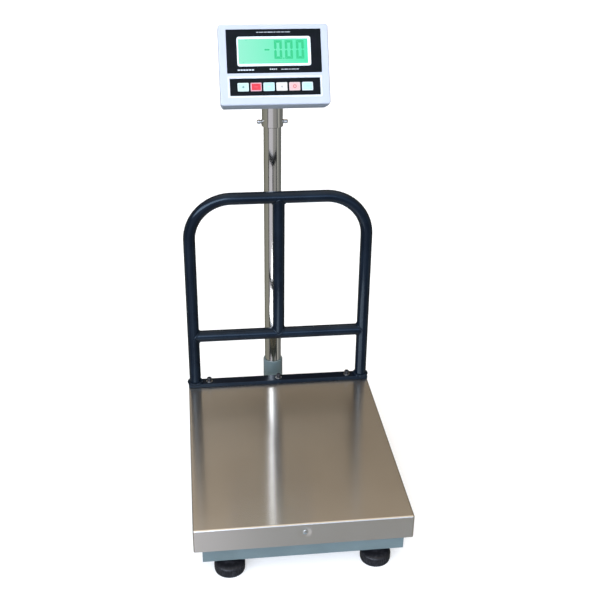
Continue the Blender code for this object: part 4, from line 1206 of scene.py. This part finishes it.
def floor():
    """A pale floor, which no reflection and no bounced light shows."""
    bm = bmesh.new()
    bmesh.ops.create_grid(bm, x_segments=1, y_segments=1, size=14)
    pale = Finish("floor", "floor", (0.6, 0.6, 0.6), 0.9, Specular_IOR_Level=0.1)
    pale.inputs["Emission Color"].default_value = (1, 1, 1, 1)
    pale.inputs["Emission Strength"].default_value = 0.5
    obj = put("floor", mesh_of("floor", bm))
    obj.data.materials.append(pale.material)
    obj.visible_glossy = False
    obj.visible_diffuse = False


def camera():
    """Stands in front of the scale and to its left, looking down on it."""
    data = bpy.data.cameras.new("camera")
    data.lens = 56.38
    data.clip_end = 60
    yaw, pitch, roll = math.radians(-7.095), math.radians(90 - 26.687), math.radians(0.7)
    at = shifted(-0.177, -1.6309, 1.2193) @ Matrix.Rotation(yaw, 4, "Z")
    at = at @ Matrix.Rotation(pitch, 4, "X") @ Matrix.Rotation(roll, 4, "Z")
    bpy.context.scene.camera = put("camera", data, at)


def soft_sun(name, toward, spread, strength, colour):
    """A broad light from far off, which shows in no reflection."""
    data = bpy.data.lights.new(name, "SUN")
    data.angle = math.radians(spread)
    data.energy = strength
    data.color = colour
    turn = Vector(toward).to_track_quat("Z", "Y").to_matrix().to_4x4()
    put(name, data, turn).visible_glossy = False


class Room(Nodes):
    """The surroundings, as a colour for each direction."""

    def __init__(self):
        world = bpy.data.worlds.new("room")
        bpy.context.scene.world = world
        world.use_nodes = True
        super().__init__(world.node_tree)
        way = self.node("TexCoord").outputs["Generated"]
        axes = self.node("SeparateXYZ", {"Vector": way}).outputs
        self.height = axes["Z"]
        self.bearing = self.math("ARCTAN2", axes["X"], self.math("MULTIPLY", axes["Y"], -1))

    def math(self, operation, first, second):
        return self.node("Math", {0: first, 1: second}, operation=operation).outputs["Value"]

    def around(self, *stops):
        """Colours by bearing in degrees: 0 is in front, 90 to the right, 180 behind."""
        turned_to = [(math.radians(bearing), *colour) for bearing, *colour in stops]
        return self.ramp(self.bearing, -math.pi, math.pi, turned_to)

    def level(self, *stops):
        """Shares by height, which is the sine of the elevation."""
        return self.ramp(self.height, -1, 1, [(z, *3 * (share,)) for z, share in stops])

    def blend(self, lower, upper, start, end):
        """Goes from one colour to another between two heights."""
        return self.mixed(self.level((start, 0), (end, 1)), lower, upper)

    def window(self, under, bright, bearings, heights):
        """A bright patch with soft edges. Both tuples hold where it starts, is full and ends."""
        shares = (0, 1, 1, 0)
        across = self.around(*[(at, *3 * (share,)) for at, share in zip(bearings, shares)])
        share = self.math("MULTIPLY", across, self.level(*zip(heights, shares)))
        return self.mixed(share, under, bright)


def room():
    """Pale in front and overhead, warm grey behind, with the edges that polished tube picks up."""
    room = Room()
    below = room.around(
        (-180, 0.1, 0.1, 0.07), (-110, 0.34, 0.34, 0.29), (-68, 0.4, 0.4, 0.35),
        (-56, 0.14, 0.14, 0.14), (-46, 0.8, 0.79, 0.87), (-2, 0.74, 0.74, 0.8),
        (5, 0.42, 0.42, 0.42), (40, 0.36, 0.36, 0.35), (50, 0.12, 0.13, 0.14),
        (62, 0.55, 0.56, 0.53), (74, 0.5, 0.51, 0.47), (84, 0.23, 0.24, 0.24),
        (130, 0.21, 0.22, 0.21), (180, 0.1, 0.1, 0.07),
    )
    above = room.around(
        (-180, 0.22, 0.19, 0.155), (-120, 0.33, 0.31, 0.28), (-60, 0.45, 0.46, 0.48),
        (-30, 0.84, 0.98, 1.22), (30, 0.84, 0.98, 1.22), (64, 0.38, 0.36, 0.33),
        (110, 0.34, 0.3, 0.24), (166, 0.085, 0.058, 0.028), (174, 0.11, 0.083, 0.05),
        (180, 0.17, 0.142, 0.108),
    )
    floor_glow, overhead = (0.48, 0.8, 1.15), (1.4, 1.25, 1.06)
    low = room.blend(floor_glow, below, -0.92, -0.8)
    sides = room.blend(low, above, -0.06, 0.1)
    panes = room.window(sides, (8.2, 9.2, 11.0), (-74, -60, -4, 4), (0.2, 0.28, 0.47, 0.7))
    strip = room.window(panes, (2.4, 3.0, 4.3), (-6, 2, 12, 20), (0.1, 0.2, 0.34, 0.44))
    whole = room.blend(strip, overhead, 0.61, 0.92)
    room.feed(whole, room.tree.nodes["Background"].inputs["Color"])


def studio():
    floor()
    camera()
    room()
    soft_sun("overhead", (0.15, -0.2, 1.0), 100, 0.35, (1, 1, 1))
    soft_sun("window", (-0.5, -1.0, 0.8), 60, 0.2, (0.97, 0.98, 1))
    bpy.context.scene.view_settings.view_transform = "Standard"


studio()
platter()
guard_cross_members(*guard_hoop())
guard_base()
deck_frame()
cross_plates()
base_frame()
load_cell()
cell_lead()
overload_stops()
feet()
column()
bracket()
front_case()
rear_case()
display()
keypad()
repaint("circuit_board", BOARD)
repaint("battery", BATTERY)
indicator_ports()
